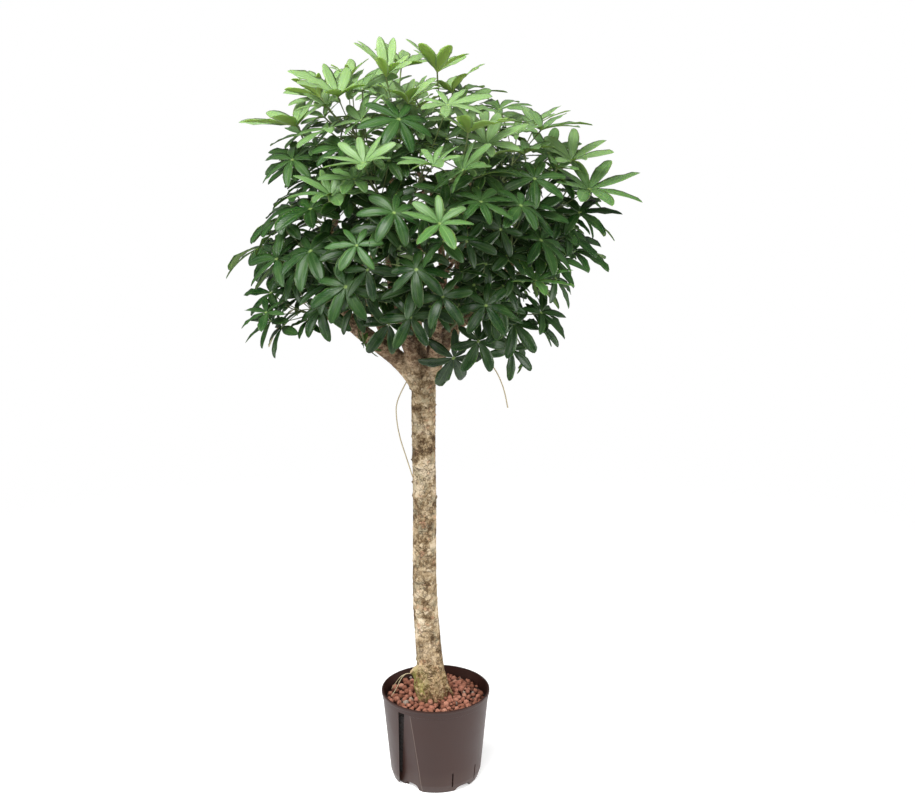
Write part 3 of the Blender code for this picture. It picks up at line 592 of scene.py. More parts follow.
LIMBS = {name: metres(*rows) for name, rows in {
    "left": ((-18, 0, 800, 16), (-42, -2, 850, 18.5), (-78, -4, 888, 17), (-118, -4, 918, 15.5),
     (-158, -2, 952, 14.5), (-186, 4, 990, 12.5), (-196, 12, 1040, 10), (-194, 20, 1095, 8),
     (-184, 22, 1150, 6.2)),
    "left_stub": ((-165, -2, 962, 11), (-196, -6, 988, 11.8), (-214, -8, 1003, 11.2)),
    "right": ((-20, -2, 805, 15), (-6, -8, 860, 18), (14, -14, 905, 17), (36, -16, 946, 16),
     (50, -12, 985, 14.5), (50, -6, 1022, 12.2), (50, 0, 1070, 10), (66, 6, 1130, 8),
     (84, 10, 1185, 6.2)),
    "right_side": ((34, -14, 940, 10), (66, -22, 966, 10.5), (100, -24, 996, 9.2),
     (130, -18, 1034, 8), (148, -8, 1080, 6.2)),
    "middle": ((-24, -4, 815, 13), (-38, -14, 880, 14.5), (-56, -26, 935, 13.2),
     (-68, -34, 985, 11.8), (-78, -40, 1040, 10), (-82, -44, 1100, 8.5), (-76, -42, 1160, 7),
     (-68, -36, 1215, 5.8)),
    "centre": ((-20, 6, 820, 14), (-28, 16, 890, 14), (-36, 26, 950, 12.8), (-38, 34, 1010, 11.2),
     (-30, 40, 1070, 9.6), (-14, 44, 1130, 8), (0, 44, 1190, 6.4)),
    "back": ((-16, 8, 815, 12), (-8, 38, 870, 13), (4, 74, 915, 11.8), (14, 108, 960, 10.4),
     (18, 134, 1015, 8.8), (14, 148, 1075, 7)),
    "back_left": ((-66, -2, 878, 10), (-92, 30, 920, 10.5), (-118, 66, 962, 9.2), (-136, 94, 1012, 8),
     (-142, 112, 1070, 6.4)),
    "front": ((-12, -6, 845, 10), (0, -40, 896, 11), (6, -76, 940, 9.8), (8, -104, 990, 8.4),
     (6, -120, 1045, 6.6)),
}.items()}
# thin roots in the air
AERIAL_ROOTS = [metres(*rows) for rows in (
    ((-45, -4, 848), (-58, -10, 828), (-72, -12, 795), (-73, -12, 765), (-67, -10, 726),
     (-54, -6, 680), (-42, -2, 640), (-34, 0, 622)),
    ((30, -18, 925), (62, -26, 912), (92, -28, 892), (116, -28, 864), (132, -26, 828),
     (141, -24, 788)),
    ((-210, -8, 1000), (-245, -16, 992), (-275, -20, 972), (-296, -20, 945), (-314, -18, 908)),
)]
# swollen roots at the trunk's foot
ROOT_LOBES = [metres(*rows) for rows in (
    ((-24, -4, 250, 6.5), (-37, -8, 228, 9), (-31, -10, 202, 7.5), (-26, -9, 174, 5.5)),
    ((-18, -16, 240, 5.5), (-22, -22, 208, 7.5), (-20, -20, 174, 5.5)),
    ((-5, -20, 232, 5), (1, -26, 202, 6.8), (0, -24, 174, 5.5)),
    ((8, -5, 240, 5.5), (19, -7, 206, 7.4), (16.5, -7, 174, 5.8)),
    ((3, 17, 234, 5.5), (8, 23, 204, 7.2), (6.5, 20, 174, 5.8)),
    ((-18, 14, 238, 5.5), (-24, 19, 206, 7.2), (-22, 17, 174, 5.5)),
)]
# thinner roots that stand out from them, down into the clay
FOOT_ROOTS = [metres(*rows) for rows in (
    ((-30, -8, 244, 5), (-42, -10, 234, 6.2), (-50, -11, 227, 4)),
    ((-30, -8, 228, 7), (-37, -12, 206, 8.2), (-32, -18, 186, 7.5), (-28, -20, 170, 6)),
    ((8, -4, 236, 5.8), (17.5, -6, 212, 5.4), (25.5, -8, 196, 4), (33.5, -10, 183, 2.8),
     (38, -11, 170, 2.4)),
    ((-28, -16, 212, 5), (-28.5, -26, 198, 6.6), (-25.5, -33, 187, 7), (-23, -34, 172, 5.8)),
    ((-6, -26, 214, 4), (-4, -33, 194, 4.4), (2, -40, 176, 3.6)),
)]
# fine pale roots that lie on the clay
SURFACE_ROOTS = [metres(*rows) for rows in (
    ((-50, -11, 227), (-60, -10, 226), (-70, -14, 217), (-80, -24, 200), (-89, -30, 187)),
    ((-60, -10, 226), (-72, 0, 214), (-83, 6, 196), (-90, 10, 184)),
)]

# Leafy shoots: tip, leaves, length of a leaflet, freshness, and the hubs of the leading
# leaves with each one's leaflet length and freshness (0 an old dark leaf, 1 a new pale one).
SHOOTS = [(Vector(*metres(tip)), count, size / 1000, fresh,
           [(Vector(*metres(lead[:3])), lead[3] / 1000, lead[4]) for lead in leads])
          for tip, count, size, fresh, leads in (
    ((-200, 20, 1240), 5, 88, 0.3, [(-250, -10, 1320, 110, 0.85), (-235, 20, 1240, 78, 0.3)]),
    ((-150, -20, 1320), 5, 88, 0.4, [(-170, -60, 1375, 110, 0.9), (-153, 20, 1405, 60, 1)]),
    ((-60, -30, 1310), 5, 85, 0.4, [(-84, -60, 1410, 90, 1), (-60, 100, 1420, 80, 0.9),
        (-60, -130, 1340, 80, 0.1)]),
    ((20, 40, 1310), 5, 90, 0.4, [(3, -20, 1420, 92, 0.95), (55, 100, 1375, 95, 0.4)]),
    ((40, -140, 1240), 5, 85, 0.3, [(60, -170, 1320, 95, 0.8), (0, -240, 1270, 75, 0.6)]),
    ((150, 30, 1250), 5, 88, 0.3, [(125, 60, 1345, 85, 0.5), (197, -30, 1314, 104, 0.55)]),
    ((190, -30, 1200), 5, 88, 0.3, [(255, -20, 1257, 92, 0.88), (180, -120, 1235, 74, 0.3)]),
    ((210, 0, 1150), 5, 90, 0.2, [(285, -40, 1206, 110, 0.75), (280, 50, 1150, 98, 0.25)]),
    ((140, -140, 1140), 5, 75, 0.1, [(190, -150, 1130, 82, 0.1), (150, -220, 1200, 72, 0.1)]),
    ((160, -60, 1060), 5, 75, 0.1, [(260, -30, 1090, 90, 0.1), (180, -170, 1060, 85, 0.75)]),
    ((130, -60, 980), 5, 68, 0, [(145, -120, 974, 72, 0), (165, -30, 910, 64, 0.05)]),
    ((70, -140, 1030), 5, 70, 0.1, [(90, -240, 1030, 70, 0), (100, -190, 1100, 68, 0.1)]),
    ((30, -190, 1140), 5, 72, 0.2, [(10, -300, 1180, 82, 0.8), (80, -250, 1210, 70, 0.2)]),
    ((0, -170, 1040), 5, 68, 0, [(15, -280, 1053, 68, 0), (-40, -240, 1010, 66, 0)]),
    ((-100, -120, 1210), 5, 76, 0.3, [(-120, -200, 1270, 90, 0.8), (-160, -130, 1290, 70, 0.2)]),
    ((-200, -40, 1150), 5, 88, 0.2, [(-180, -160, 1210, 100, 0.7), (-287, 30, 1145, 92, 0.25)]),
    ((-50, -180, 1160), 5, 70, 0.1, [(-60, -280, 1210, 70, 0.1)]),
    ((-110, -170, 1100), 5, 70, 0.1, [(-130, -270, 1140, 62, 0.35), (-30, -280, 1100, 70, 0)]),
    ((-220, -30, 1070), 5, 80, 0.1, [(-220, -140, 1110, 85, 0), (-325, 40, 1090, 102, 0.15)]),
    ((-250, -50, 985), 5, 72, 0, [(-205, -110, 1000, 74, 0), (-265, -40, 960, 68, 0)]),
    ((-130, -120, 1030), 5, 70, 0, [(-153, -220, 1060, 78, 0), (-132, -60, 925, 44, 0.1)]),
    ((50, -90, 980), 4, 70, 0, [(36, -100, 905, 80, 0), (80, -140, 945, 70, 0)]),
    ((-70, -130, 980), 4, 68, 0, [(-80, -180, 985, 68, 0)]),
    ((-20, -60, 1240), 5, 81, 0.2, [(-10, -150, 1340, 85, 0.6)]),
    ((-160, 170, 1200), 5, 90, 0.3, []),
    ((-40, 140, 1280), 5, 90, 0.4, []),
    ((100, 170, 1230), 5, 90, 0.3, []),
    ((200, 130, 1100), 5, 90, 0.2, []),
    ((80, 230, 1110), 5, 88, 0.1, []),
    ((-80, 230, 1120), 5, 88, 0.1, []),
    ((-220, 130, 1060), 5, 88, 0.1, []),
    ((120, 170, 980), 5, 82, 0, []),
    ((-120, 180, 980), 5, 82, 0, []),
)]


def bezier(a, b, c, t):
    return a * (1 - t) ** 2 + b * (2 * t * (1 - t)) + c * t ** 2


def toward(a, b, angle):
    """The direction at an angle from one direction towards another."""
    return a * math.cos(angle) + b * math.sin(angle)


def tube(points, radii, sides):
    """Closed tube with flat ends and without twist: vertices and faces."""
    verts, side, last = [], None, (len(points) - 1) * sides
    for i, p in enumerate(points):
        along = (points[min(i + 1, len(points) - 1)] - points[max(i - 1, 0)]).normalized()
        if side is None:
            side = along.cross(UP if abs(along.z) < 0.9 else Vector((0, 1, 0)))
        side = (side - along * side.dot(along)).normalized()
        other = along.cross(side)
        verts += [p + toward(side, other, a) * radii[i] for a in turns(sides)]
    faces = [tuple(reversed(range(sides)))]
    for a in range(0, last, sides):
        faces += band(a, a + sides, sides)
    faces.append(tuple(last + k for k in range(sides)))
    return verts, faces


def lines_of(rows_list, radius=None):
    """Points and radii of several rows."""
    return [([Vector(p[:3]) for p in rows], [radius or p[3] for p in rows]) for rows in rows_list]


def crowding(line, lines, wood):
    """How often a shoot would come too close to a limb or to an earlier shoot."""
    own = [bezier(*line[:3], 0.34 + 0.06 * i) for i in range(12)]
    near = sum(1 for p in own for q, r in wood if (p - q).length < r + WOOD_ROOM)
    for other in lines:
        theirs = [bezier(*other[:3], 0.04 * i) for i in range(26)]
        near += sum(1 for p in own for q in theirs if (p - q).length < SHOOT_ROOM)
    return near


def shoot_lines():
    """Centre line of every shoot from the limb that carries it to its tip."""
    spots = []
    wood = [(a.lerp(b, f / 4), ra + (rb - ra) * f / 4) for pts, radii in lines_of(LIMBS.values())
            for a, b, ra, rb in zip(pts, pts[1:], radii, radii[1:]) for f in range(4)]
    for name, (pts, radii) in zip(LIMBS, lines_of(LIMBS.values())):
        if name == "left_stub":
            continue
        for i in range(2, len(pts) - 1):
            for f in (0.0, 0.5):
                spots.append((pts[i].lerp(pts[i + 1], f), radii[i] * (1 - f) + radii[i + 1] * f))
        spots.append((pts[-1], radii[-1]))
    lines = []
    for tip, *_ in SHOOTS:
        ways = []
        for spot in spots:
            start, r = spot
            reach = tip - start
            bend = start + Vector((reach.x * 0.62, reach.y * 0.62, reach.z * 0.42))
            line = (start, bend, tip, min(0.0048, r * 0.8))
            cost = reach.length + 1.2 * max(0.0, 0.04 - reach.z)
            if cost < LONGEST:
                ways.append((cost + 0.05 * crowding(line, lines, wood), line, spot))
        _, line, spot = min(ways, key=lambda way: way[0])
        spots.remove(spot)
        lines.append(line)
    return lines


def shoot_part(line, shares):
    """Points and radii along a shoot."""
    return [bezier(*line[:3], t) for t in shares], [line[3] * (1 - t) + TIP_R * t for t in shares]


def spline(points, radii, step):
    """A smooth path through points, with the radius eased along it."""
    out = []
    for i in range(len(points) - 1):
        p0, p1, p2, p3 = (points[max(0, min(len(points) - 1, i + k))] for k in (-1, 0, 1, 2))
        count = max(1, round((p2 - p1).length / step))
        for t in (k / count for k in range(count)):
            p = ((p1 * 2) + (p2 - p0) * t + (p0 * 2 - p1 * 5 + p2 * 4 - p3) * t ** 2
                 + (p1 * 3 - p0 - p2 * 3 + p3) * t ** 3) * 0.5
            out.append((p, radii[i] + (radii[i + 1] - radii[i]) * (t * t * (3 - 2 * t))))
    out.append((points[-1], radii[-1]))
    return [p for p, _ in out], [r for _, r in out]


def sweep_tree():
    """Tubes along a mesh's edges, as thick as its attribute thick says."""
    tree, (paths, sides, material) = group_tree("swept_tubes", Sides="Int", Material="Material")
    return finished(tree, add(tree, "GeometryNodeCurveToMesh", {
        "Curve": add(tree, "GeometryNodeMeshToCurve", (paths,)),
        "Profile Curve": add(tree, "GeometryNodeCurvePrimitiveCircle", {"Resolution": sides, "Radius": 1.0}),
        "Scale": add(tree, "GeometryNodeInputNamedAttribute", {"Name": "thick"}, data_type='FLOAT'),
        "Fill Caps": True}), material)


def mark(obj, name, values):
    """Give every point of an object its own number or vector under a name."""
    plain = isinstance(values[0], float)
    data = obj.data.attributes.new(name, 'FLOAT' if plain else 'FLOAT_VECTOR', 'POINT').data
    data.foreach_set("value" if plain else "vector", values if plain else [c for v in values for c in v])


def swept(name, paths, sides, material, tree):
    """Tubes along paths of points and radii, in one object."""
    verts, edges, thick = [], [], []
    for points, radii in paths:
        edges += [(len(verts) + i, len(verts) + i + 1) for i in range(len(points) - 1)]
        verts += points
        thick += radii
    obj = new_object(name, verts, (), edges)
    mark(obj, "thick", thick)
    run_tree(obj, tree, Sides=sides, Material=material)
    obj.data.shade_smooth()
    return obj


# ring scars: height, bearing, width, depth and tilt; knobs: bearing, height, size and how far out
rings_rng = random.Random(19)
SCARS = []
scar_z = 0.215
while scar_z < TRUNK_TOP:
    SCARS.append((scar_z, *(rings_rng.uniform(*span) for span in (
        (0, 6.28), (0.7, 2.6), (0.4, 1.0), (-0.004, 0.004)))))
    scar_z += rings_rng.uniform(0.009, 0.024)
KNOBS = [tuple(rings_rng.uniform(*span) for span in (
    (0, 6.28), (0.24, TRUNK_TOP), (0.003, 0.0062), (0.0014, 0.0032))) for _ in range(56)]


def trunk_axis(z):
    """The trunk's middle and radius at a height."""
    for a, b in zip(TRUNK, TRUNK[1:]):
        if z <= b[2]:
            f = max(0.0, (z - a[2]) / (b[2] - a[2]))
            return [a[k] + (b[k] - a[k]) * f for k in (0, 1, 3)]
    return [TRUNK[-1][k] for k in (0, 1, 3)]


def bark_relief(p):
    """How far the bark stands out at a point, and how dark its scars are there."""
    rough = noise.fractal(p * 62, 0.8, 2.1, 4) * 0.00055 + noise.noise(p * 210) * 0.0005
    if p.z < FOOT_TOP:
        fibre = noise.noise(Vector((p.x * 170 + p.z * 95, p.y * 170, p.z * 55)))
        rough += fibre * 0.0015 * min(1.0, (FOOT_TOP - p.z) / 0.05)
    x, y, r = trunk_axis(p.z)
    around = math.atan2(p.y - y, p.x - x)
    scar = 0.0
    if p.z >= FORK_TOP or math.hypot(p.x - x, p.y - y) >= r * 1.35 + 0.004:
        return rough, scar
    for z, facing, wide, deep, tilt in SCARS:
        away = around - facing
        if abs(p.z - z) > SCAR_REACH or abs(math.remainder(away, FULL_TURN)) >= wide * 1.5:
            continue
        wave = noise.noise(Vector((around * 2.2, z * 90, 4.0))) * 0.0022
        off = p.z - z - tilt * math.sin(around) - wave
        strength = max(0.0, math.cos(away / wide)) * deep
        groove = math.exp(-(off / 0.0014) ** 2) * strength
        lip = math.exp(-((off - 0.0026) / 0.0016) ** 2) * strength
        rough += (lip - groove) * 0.00075
        scar = max(scar, groove)
    for facing, z, size, tall in KNOBS:
        if abs(p.z - z) >= size * 1.6:
            continue
        gap = math.hypot(math.remainder(around - facing, FULL_TURN) * r, (p.z - z) * 1.2)
        if gap < size * 1.6:
            bulge = math.exp(-(gap / (size * 0.62)) ** 2)
            rough += bulge * tall
            scar = max(scar, bulge * 0.75 * (gap > size * 0.35) + 0.5 * (gap < size * 0.2))
    return rough, scar


def bark_shades():
    mat, spot = blank_material("bark")
    scar, shade, moss = spot.held("bark").parts()
    level = spot.parts()[2]
    # flakes of cork with torn edges, each of its own tone
    torn = spot.noise(170.0, 4.0, 0.7, "Color").vector('SUBTRACT', (0.5, 0.5, 0.5))
    ragged = spot.vector('ADD', torn.vector('SCALE', 0.016))
    flakes, chips = (add(mat.node_tree, "ShaderNodeSeparateColor", (ragged.cells(scale, "Color"),))
                     for scale in (120.0, 330.0))
    grain = spot.noise(480.0, 4.0, 0.75)
    tone = ragged.noise(24.0, 6.0, 0.62) * 1.6 + flakes * 0.2 + chips * 0.16 + grain * 0.42
    tone = tone - 0.645 - level.mask(0.5, 0.82, 0.09)
    stained = ragged.vector('ADD', (3.0, 1.0, 2.0)).noise(38.0, 5.0, 0.65)
    cracked = (ragged.cells(120.0, feature='DISTANCE_TO_EDGE').mask(0.09, 0.02, 0.75)
               * spot.noise(60.0, 3.0, 0.6).mask(0.44, 0.56, 1.0))
    # the foot and the limbs are wrinkled across; the creases are painted dark as shade and the crests light
    # as painted highlights
    ends = level.mask(0.31, 0.24, 1.0) + level.mask(0.82, 0.92, 1.0)
    across = stretched(ragged, 2.4).noise(120.0, 5.0, 0.6)
    wrinkles = across.mask(0.465, 0.43, 0.85) * ends
    # moss and green crust run down the foot in streaks, red dust lies just over the clay
    streak = stretched(ragged, 0.35, 0.35).noise(110.0, 4.0, 0.6)
    dusty = level.mask(0.212, 0.18, 1.0) * spot.noise(150.0, 4.0, 0.7).mask(0.48, 0.56, 0.65)
    cover = layered(
        tone.ramp((0.28, 84, 66, 46), (0.37, 120, 99, 72), (0.45, 156, 136, 106), (0.53, 180, 161, 130),
                  (0.6, 200, 182, 152), (0.7, 222, 206, 180)),
        (ragged.noise(52.0, 4.0, 0.6).mask(0.6, 0.63, 0.6), (208, 166, 136)),
        (stained.mask(0.57, 0.6, 0.5), (168, 164, 140)),
        (cracked, (82, 64, 44)),
        (spot.noise(800.0, 3.0, 0.7).mask(0.4, 0.34, 0.65), (66, 50, 34)),
        (scar * 0.9, (62, 45, 30)),
        (level.mask(0.34, 0.22, 1.0), (226, 206, 180), 'MULTIPLY'),
        (level.mask(0.3, 0.4, 0.55), (228, 220, 208), 'MULTIPLY'),
        (level.mask(0.84, 0.94, 0.75), (250, 214, 190), 'MULTIPLY'),
        # painted light: the limbs over the fork are lightened
        (level.mask(0.85, 0.93, 0.35), (224, 190, 164)),
        (shade, (128, 100, 80), 'MULTIPLY'),
        # painted shade in the wrinkles' creases
        (wrinkles, (84, 62, 42)),
        # painted highlights on the wrinkles' crests
        (across.mask(0.53, 0.6, 0.6) * ends, (206, 186, 152)),
        (moss * streak.mask(0.44, 0.56, 0.75), (152, 152, 78)),
        (dusty, (132, 84, 62)))
    return coat(mat, {"Base Color": cover, "Roughness": 0.9, "Specular IOR Level": 0.2},
                (0.9, 0.0019, chips * 0.35 + grain + flakes * 0.5 - cracked - wrinkles * 1.2))


def stretched(spot, tall, lean=0.0):
    """Coordinates in which a pattern lies across the trunk, or along it."""
    return add(spot.tree, "ShaderNodeMapping", {
        "Vector": spot, "Rotation": (0.0, lean, 0.0), "Scale": (1.0, 1.0, tall)})


def cloudy(name, scale, one, other, rough, bump, fresh=None):
    """A plain finish that wanders between two colours, and to a third where it is fresh."""
    mat, spot = blank_material(name)
    cloud = spot.noise(scale, 4.0)
    tint = cloud.mix(one, other)
    if fresh:
        tint = spot.held("fresh", "Fac").mix(tint, fresh)
    return coat(mat, {"Base Color": tint, "Roughness": rough}, (bump, 0.0006, cloud))


def make_trunk(lines):
    bark = bark_shades()
    solids = []
    for rows_list, step, sides in (([TRUNK], 0.012, 28), (LIMBS.values(), 0.01, 16), (ROOT_LOBES, 0.006, 12),
                                   (FOOT_ROOTS, 0.004, 12)):
        solids += [tube(*spline(*line, step), sides) for line in lines_of(rows_list)]
    for line in lines:
        shares = [TWIG_END * i / 8 for i in range(5)]
        points, radii = shoot_part(line, shares)
        solids.append(tube(points, [r * (1.25 - t) for r, t in zip(radii, shares)], 10))
    verts, faces = [], []
    for some, own in solids:
        faces += [tuple(len(verts) + i for i in face) for face in own]
        verts += some
    wood = face_out(new_object("woody_trunk", verts, faces))
    grown = wood.modifiers.new("grown_together", 'REMESH')
    grown.mode = 'VOXEL'
    grown.voxel_size = VOXEL
    ease = wood.modifiers.new("ease", 'SMOOTH')
    ease.factor, ease.iterations = 0.5, 4
    apply_modifiers(wood)
    marks, moved = [], []
    for vert in wood.data.vertices:
        p = vert.co.copy()
        relief, scar = bark_relief(p)
        middle = max(0.0, 1.0 - abs(p.x + 0.03) / 0.13)
        shade = min(0.85, max(0.0, (p.z - 0.84) / 0.25) * 1.5) * (0.45 + 0.55 * middle)
        low = min(1.0, max(0.0, 1.0 - (p.z - 0.185) / 0.085))
        side = max(0.0, -(p.x - trunk_axis(p.z)[0]) / 0.03)
        marks.append((scar, shade, min(1.0, low * (0.25 + 1.3 * side))))
        moved.append(p + vert.normal * relief)
    for vert, p in zip(wood.data.vertices, moved):
        vert.co = p
    mark(wood, "bark", marks)
    dress(wood, bark)
    sweep = sweep_tree()
    shares = [TWIG_START + (TWIG_END - TWIG_START) * i / 8 for i in range(9)]
    twigs = swept("twigs", [shoot_part(line, shares) for line in lines], 10, bark, sweep)
    fine = [spline([Vector(p) for p in rows], [0.0009 - 0.0001 * i for i in range(len(rows))], 0.006)
            for rows in SURFACE_ROOTS]
    pale = cloudy("pale_root", 90.0, (140, 124, 92), (196, 184, 150), 0.7, 0.4)
    roots = swept("aerial_roots", [spline(*line, 0.006) for line in lines_of(AERIAL_ROOTS, AERIAL_R)] + fine,
                  8, pale, sweep)
    for piece in (wood, twigs, roots):
        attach(piece, "root")
        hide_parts("trunk")


shoots = shoot_lines()
make_trunk(shoots)

# ---- leafy shoots ------------------------------------------------------------------------------
# Green stems with long stalks that each end in a whirl of six to eight glossy leaflets. Old leaves
# are dark blue-green with a pale rib, new ones at the shoots' ends are yellow-green and softer.
CROWN = Vector((-0.01, 0.0, 1.1))       # its middle
GOLDEN = math.radians(137.5)            # from one leaf on a shoot to the next
LIGHT_SIDE = Vector((0.0, -1.0, 0.0))   # where the leaves face
CROWN_TOP = 1.395           # no later leaf's hub stands higher
SUNLIT = 1.15               # over this height later leaves are fresher
LEAF_TRIES = 26
RIB, SPREAD = 0.0026, 0.0022    # half a blade's thickness and its margin while room is sought
STALK_ROOM = 0.0026         # a stalk's radius then
BLADE_ROOM = 0.002          # and next to its own stem
NECK = 0.006                # the stalk's end, which counts with the blade
FILL_LEAVES = 16            # small leaves looked for on each shoot
FILL_FLOOR = 0.96           # and the height under which none grow
FILL_ROOM = 0.0012          # half the thickness that they ask for
FILL_TRIES = 8
BLADE_T, CUPPING = 0.0009, 0.17     # a leaflet's half thickness and how far it cups
STALK_ENDS = (math.radians(60), math.radians(180), math.radians(300))


def leaf_frame(stalk, normal):
    """Two directions across a leaf's normal; the first leads away from the stem."""
    out = stalk[-1] - stalk[0]
    u = (out - normal * out.dot(normal)).normalized()
    return u, normal.cross(u)


def leaf_shape(stalk, normal, leaflets, rib, stalk_r, spread=0.0):
    """One palmate leaf on its stalk as a closed body: every leaflet is a folded, arching blade,
    thickest on its rib, and all of them meet over the end of the stalk."""
    hub = stalk[-1]
    u, v = leaf_frame(stalk, normal)
    n = len(leaflets)

    def at(az, r, z, s=0.0):
        d = toward(u, v, az)
        return hub + d * r + normal * z + normal.cross(d) * s

    def arc(leaflet, t):
        _, size, a0, a1, _ = leaflet
        a, span = a0 + (a1 - a0) * t, a1 - a0
        size += spread
        return size * (math.sin(a) - math.sin(a0)) / span, size * (math.cos(a0) - math.cos(a)) / span

    # stalk end, under the leaf: three vertices; then the middle of the upper side
    verts, faces = [at(a, stalk_r, -rib) for a in STALK_ENDS] + [hub + normal * rib], []
    for k, leaf in enumerate(leaflets):
        nxt = leaflets[(k + 1) % n]
        middle = (leaf[0] + (nxt[0] + 2 * math.pi * (k == n - 1))) / 2
        verts.append(at(middle, 0.0058, (arc(leaf, 0.1)[1] + arc(nxt, 0.1)[1]) / 2))
    nearest = [min(range(3), key=lambda j: abs(math.remainder(leaf[0] - STALK_ENDS[j], 2 * math.pi)))
               for leaf in leaflets]
    for k, leaf in enumerate(leaflets):
        az, half = leaf[0], leaf[4] + spread
        p, q, right, left = nearest[k], nearest[(k + 1) % n], 4 + (k - 1) % n, 4 + k
        (r5, z5), (r6, z6), (r1, z1) = (arc(leaf, t) for t in (0.48, 0.62, 1.0))
        lo, hi, tip, top, under = range(len(verts), len(verts) + 5)
        verts += [at(az, r6, z6 + half * 0.22, -half), at(az, r6, z6 + half * 0.22, half), at(az, r1, z1),
                  at(az, r5, z5 + rib), at(az, r5, z5 - rib)]
        rim = (right, lo, tip, hi, left)
        faces += [(a, b, top) for a, b in zip((3, *rim), (*rim, 3))]
        faces += [(b, a, under) for a, b in zip((p, *rim), (*rim, p))]
        if q != p:
            faces.append((p, q, left))
    # stalk down from the leaf
    previous, side = 0, None
    for i in range(len(stalk) - 2, -1, -1):
        along = (stalk[i + 1] - stalk[max(i - 1, 0)]).normalized()
        side = (verts[previous] - stalk[i + 1]) if side is None else side
        side = (side - along * side.dot(along)).normalized()
        other = along.cross(side)
        faces += band(len(verts), previous, 3)
        previous = len(verts)
        verts += [stalk[i] + toward(side, other, a) * stalk_r for a in turns(3)]
    faces.append((previous, previous + 1, previous + 2))
    return verts, faces


def leaf_plan(line, u, hub, turn, size, fresh, rng, tries):
    """Stalk, normal and leaflets of one leaf; the more tries it takes, the more it gives way."""
    leading = hub is not None
    here, before, after = (bezier(*line[:3], t) for t in (u, u - 0.02, min(1.0, u + 0.02)))
    along = (after - before).normalized()
    loose = 0.15 + 0.085 * tries
    if leading:
        wander = min(0.045, 0.006 * tries)
        hub = hub + Vector([rng.uniform(-1, 1) * wander * k for k in (1.0, 1.0, 0.7)])
        gap = hub - here
        knee = here + gap * 0.5 + (along - UP * 0.25) * gap.length * 0.12
    else:
        ref = along.cross(Vector((1, 0, 0))).normalized()
        az = turn + rng.uniform(-1.0, 1.0) * (0.2 + loose)
        centre_out = here - CROWN
        centre_out.z *= 0.5
        away = (toward(ref, along.cross(ref), az) + centre_out.normalized() * 0.55).normalized()
        lean = math.radians(66 - 34 * (u - 0.5) / 0.5) + rng.uniform(-0.2, 0.2) * (0.5 + loose)
        leave = toward(along, away, lean)
        reach = size * (1.18 - 0.25 * u) * rng.uniform(0.9, 1.15 + 0.3 * loose)
        knee = here + leave * reach * 0.55
        hub = knee + (leave + UP * 0.55).normalized() * reach * 0.45
    stalk = [here, bezier(here, knee, hub, 0.52), hub]
    end_dir = (hub - stalk[1]).normalized()
    out = hub - CROWN
    flat = Vector((out.x, out.y, 0.0)).normalized()
    level = out.z / max(out.length, 1e-6)
    tilt = math.radians(6 + 19 * (1 - level) + 8 * max(0.0, -level) + rng.uniform(-10, 12))
    tilt *= min(1.0, out.length / 0.22) * (1 - 0.7 * fresh)
    normal = toward(UP, flat, tilt) + end_dir * 0.16
    normal += (LIGHT_SIDE * (0.4 + 0.08 * flat.dot(LIGHT_SIDE)) * (1 - 0.45 * max(0.0, level))
               * (1 - 0.35 * fresh))
    normal += Vector([rng.uniform(-0.26, 0.26) * (1 + loose) for _ in range(3)])
    normal.normalize()
    if normal.dot(end_dir) < 0.35:
        normal = (normal + end_dir * (0.4 - normal.dot(end_dir))).normalized()
    count = rng.choice((7, 7, 8, 8) if leading else (6, 7, 7))
    if size < 0.07:
        count = 6
    first = rng.uniform(-0.25, 0.25)
    rise = math.radians(8 + 34 * fresh ** 1.2 + 70 * max(0.0, fresh - 0.82)) + rng.uniform(-0.12, 0.12)
    drop = rise - math.radians((40 - 20 * fresh if leading else 32) + rng.uniform(-8, 8))
    leaflets = []
    for k in range(count):
        az = first + 2 * math.pi * (k + rng.uniform(-0.1, 0.1)) / count
        back = (1 - math.cos(az)) / 2
        length = size * (1.0 - 0.32 * back) * rng.uniform(0.9, 1.04)
        leaflets.append((az, length, rise + rng.uniform(-0.12, 0.12), drop + rng.uniform(-0.12, 0.12),
                         length * (0.15 if fresh < 0.5 else 0.138)))
    return stalk, normal, leaflets


def guard(verts, faces, owner=None):
    """A body to test others against: its box, its faces and the shoot that it belongs to."""
    low, high = ([pick(p[k] for p in verts) for k in range(3)] for pick in (min, max))
    return low, high, BVHTree.FromPolygons(verts, faces, epsilon=0.0), owner


def meets(one, others):
    return any(all(one[0][k] <= other[1][k] and other[0][k] <= one[1][k] for k in range(3))
               and one[2].overlap(other[2]) for other in others)


def blade_end(stalk):
    """The last bit of a stalk, to test a blade without the rest of it."""
    return [stalk[2] - (stalk[2] - stalk[1]).normalized() * NECK, stalk[2]]


def hides_fork(hub):
    """The limbs show from the front between the trunk's top and the crown."""
    return hub.y < 0.06 and -0.17 < hub.x < 0.045 and hub.z < 1.005


def youth(line, u, fresh, fading):
    """How fresh a later leaf is: less so down its shoot, more so high in the crown."""
    return min(0.95, max(0.0, fresh - fading) + max(0.0, bezier(*line[:3], u).z - SUNLIT) * 4.5)


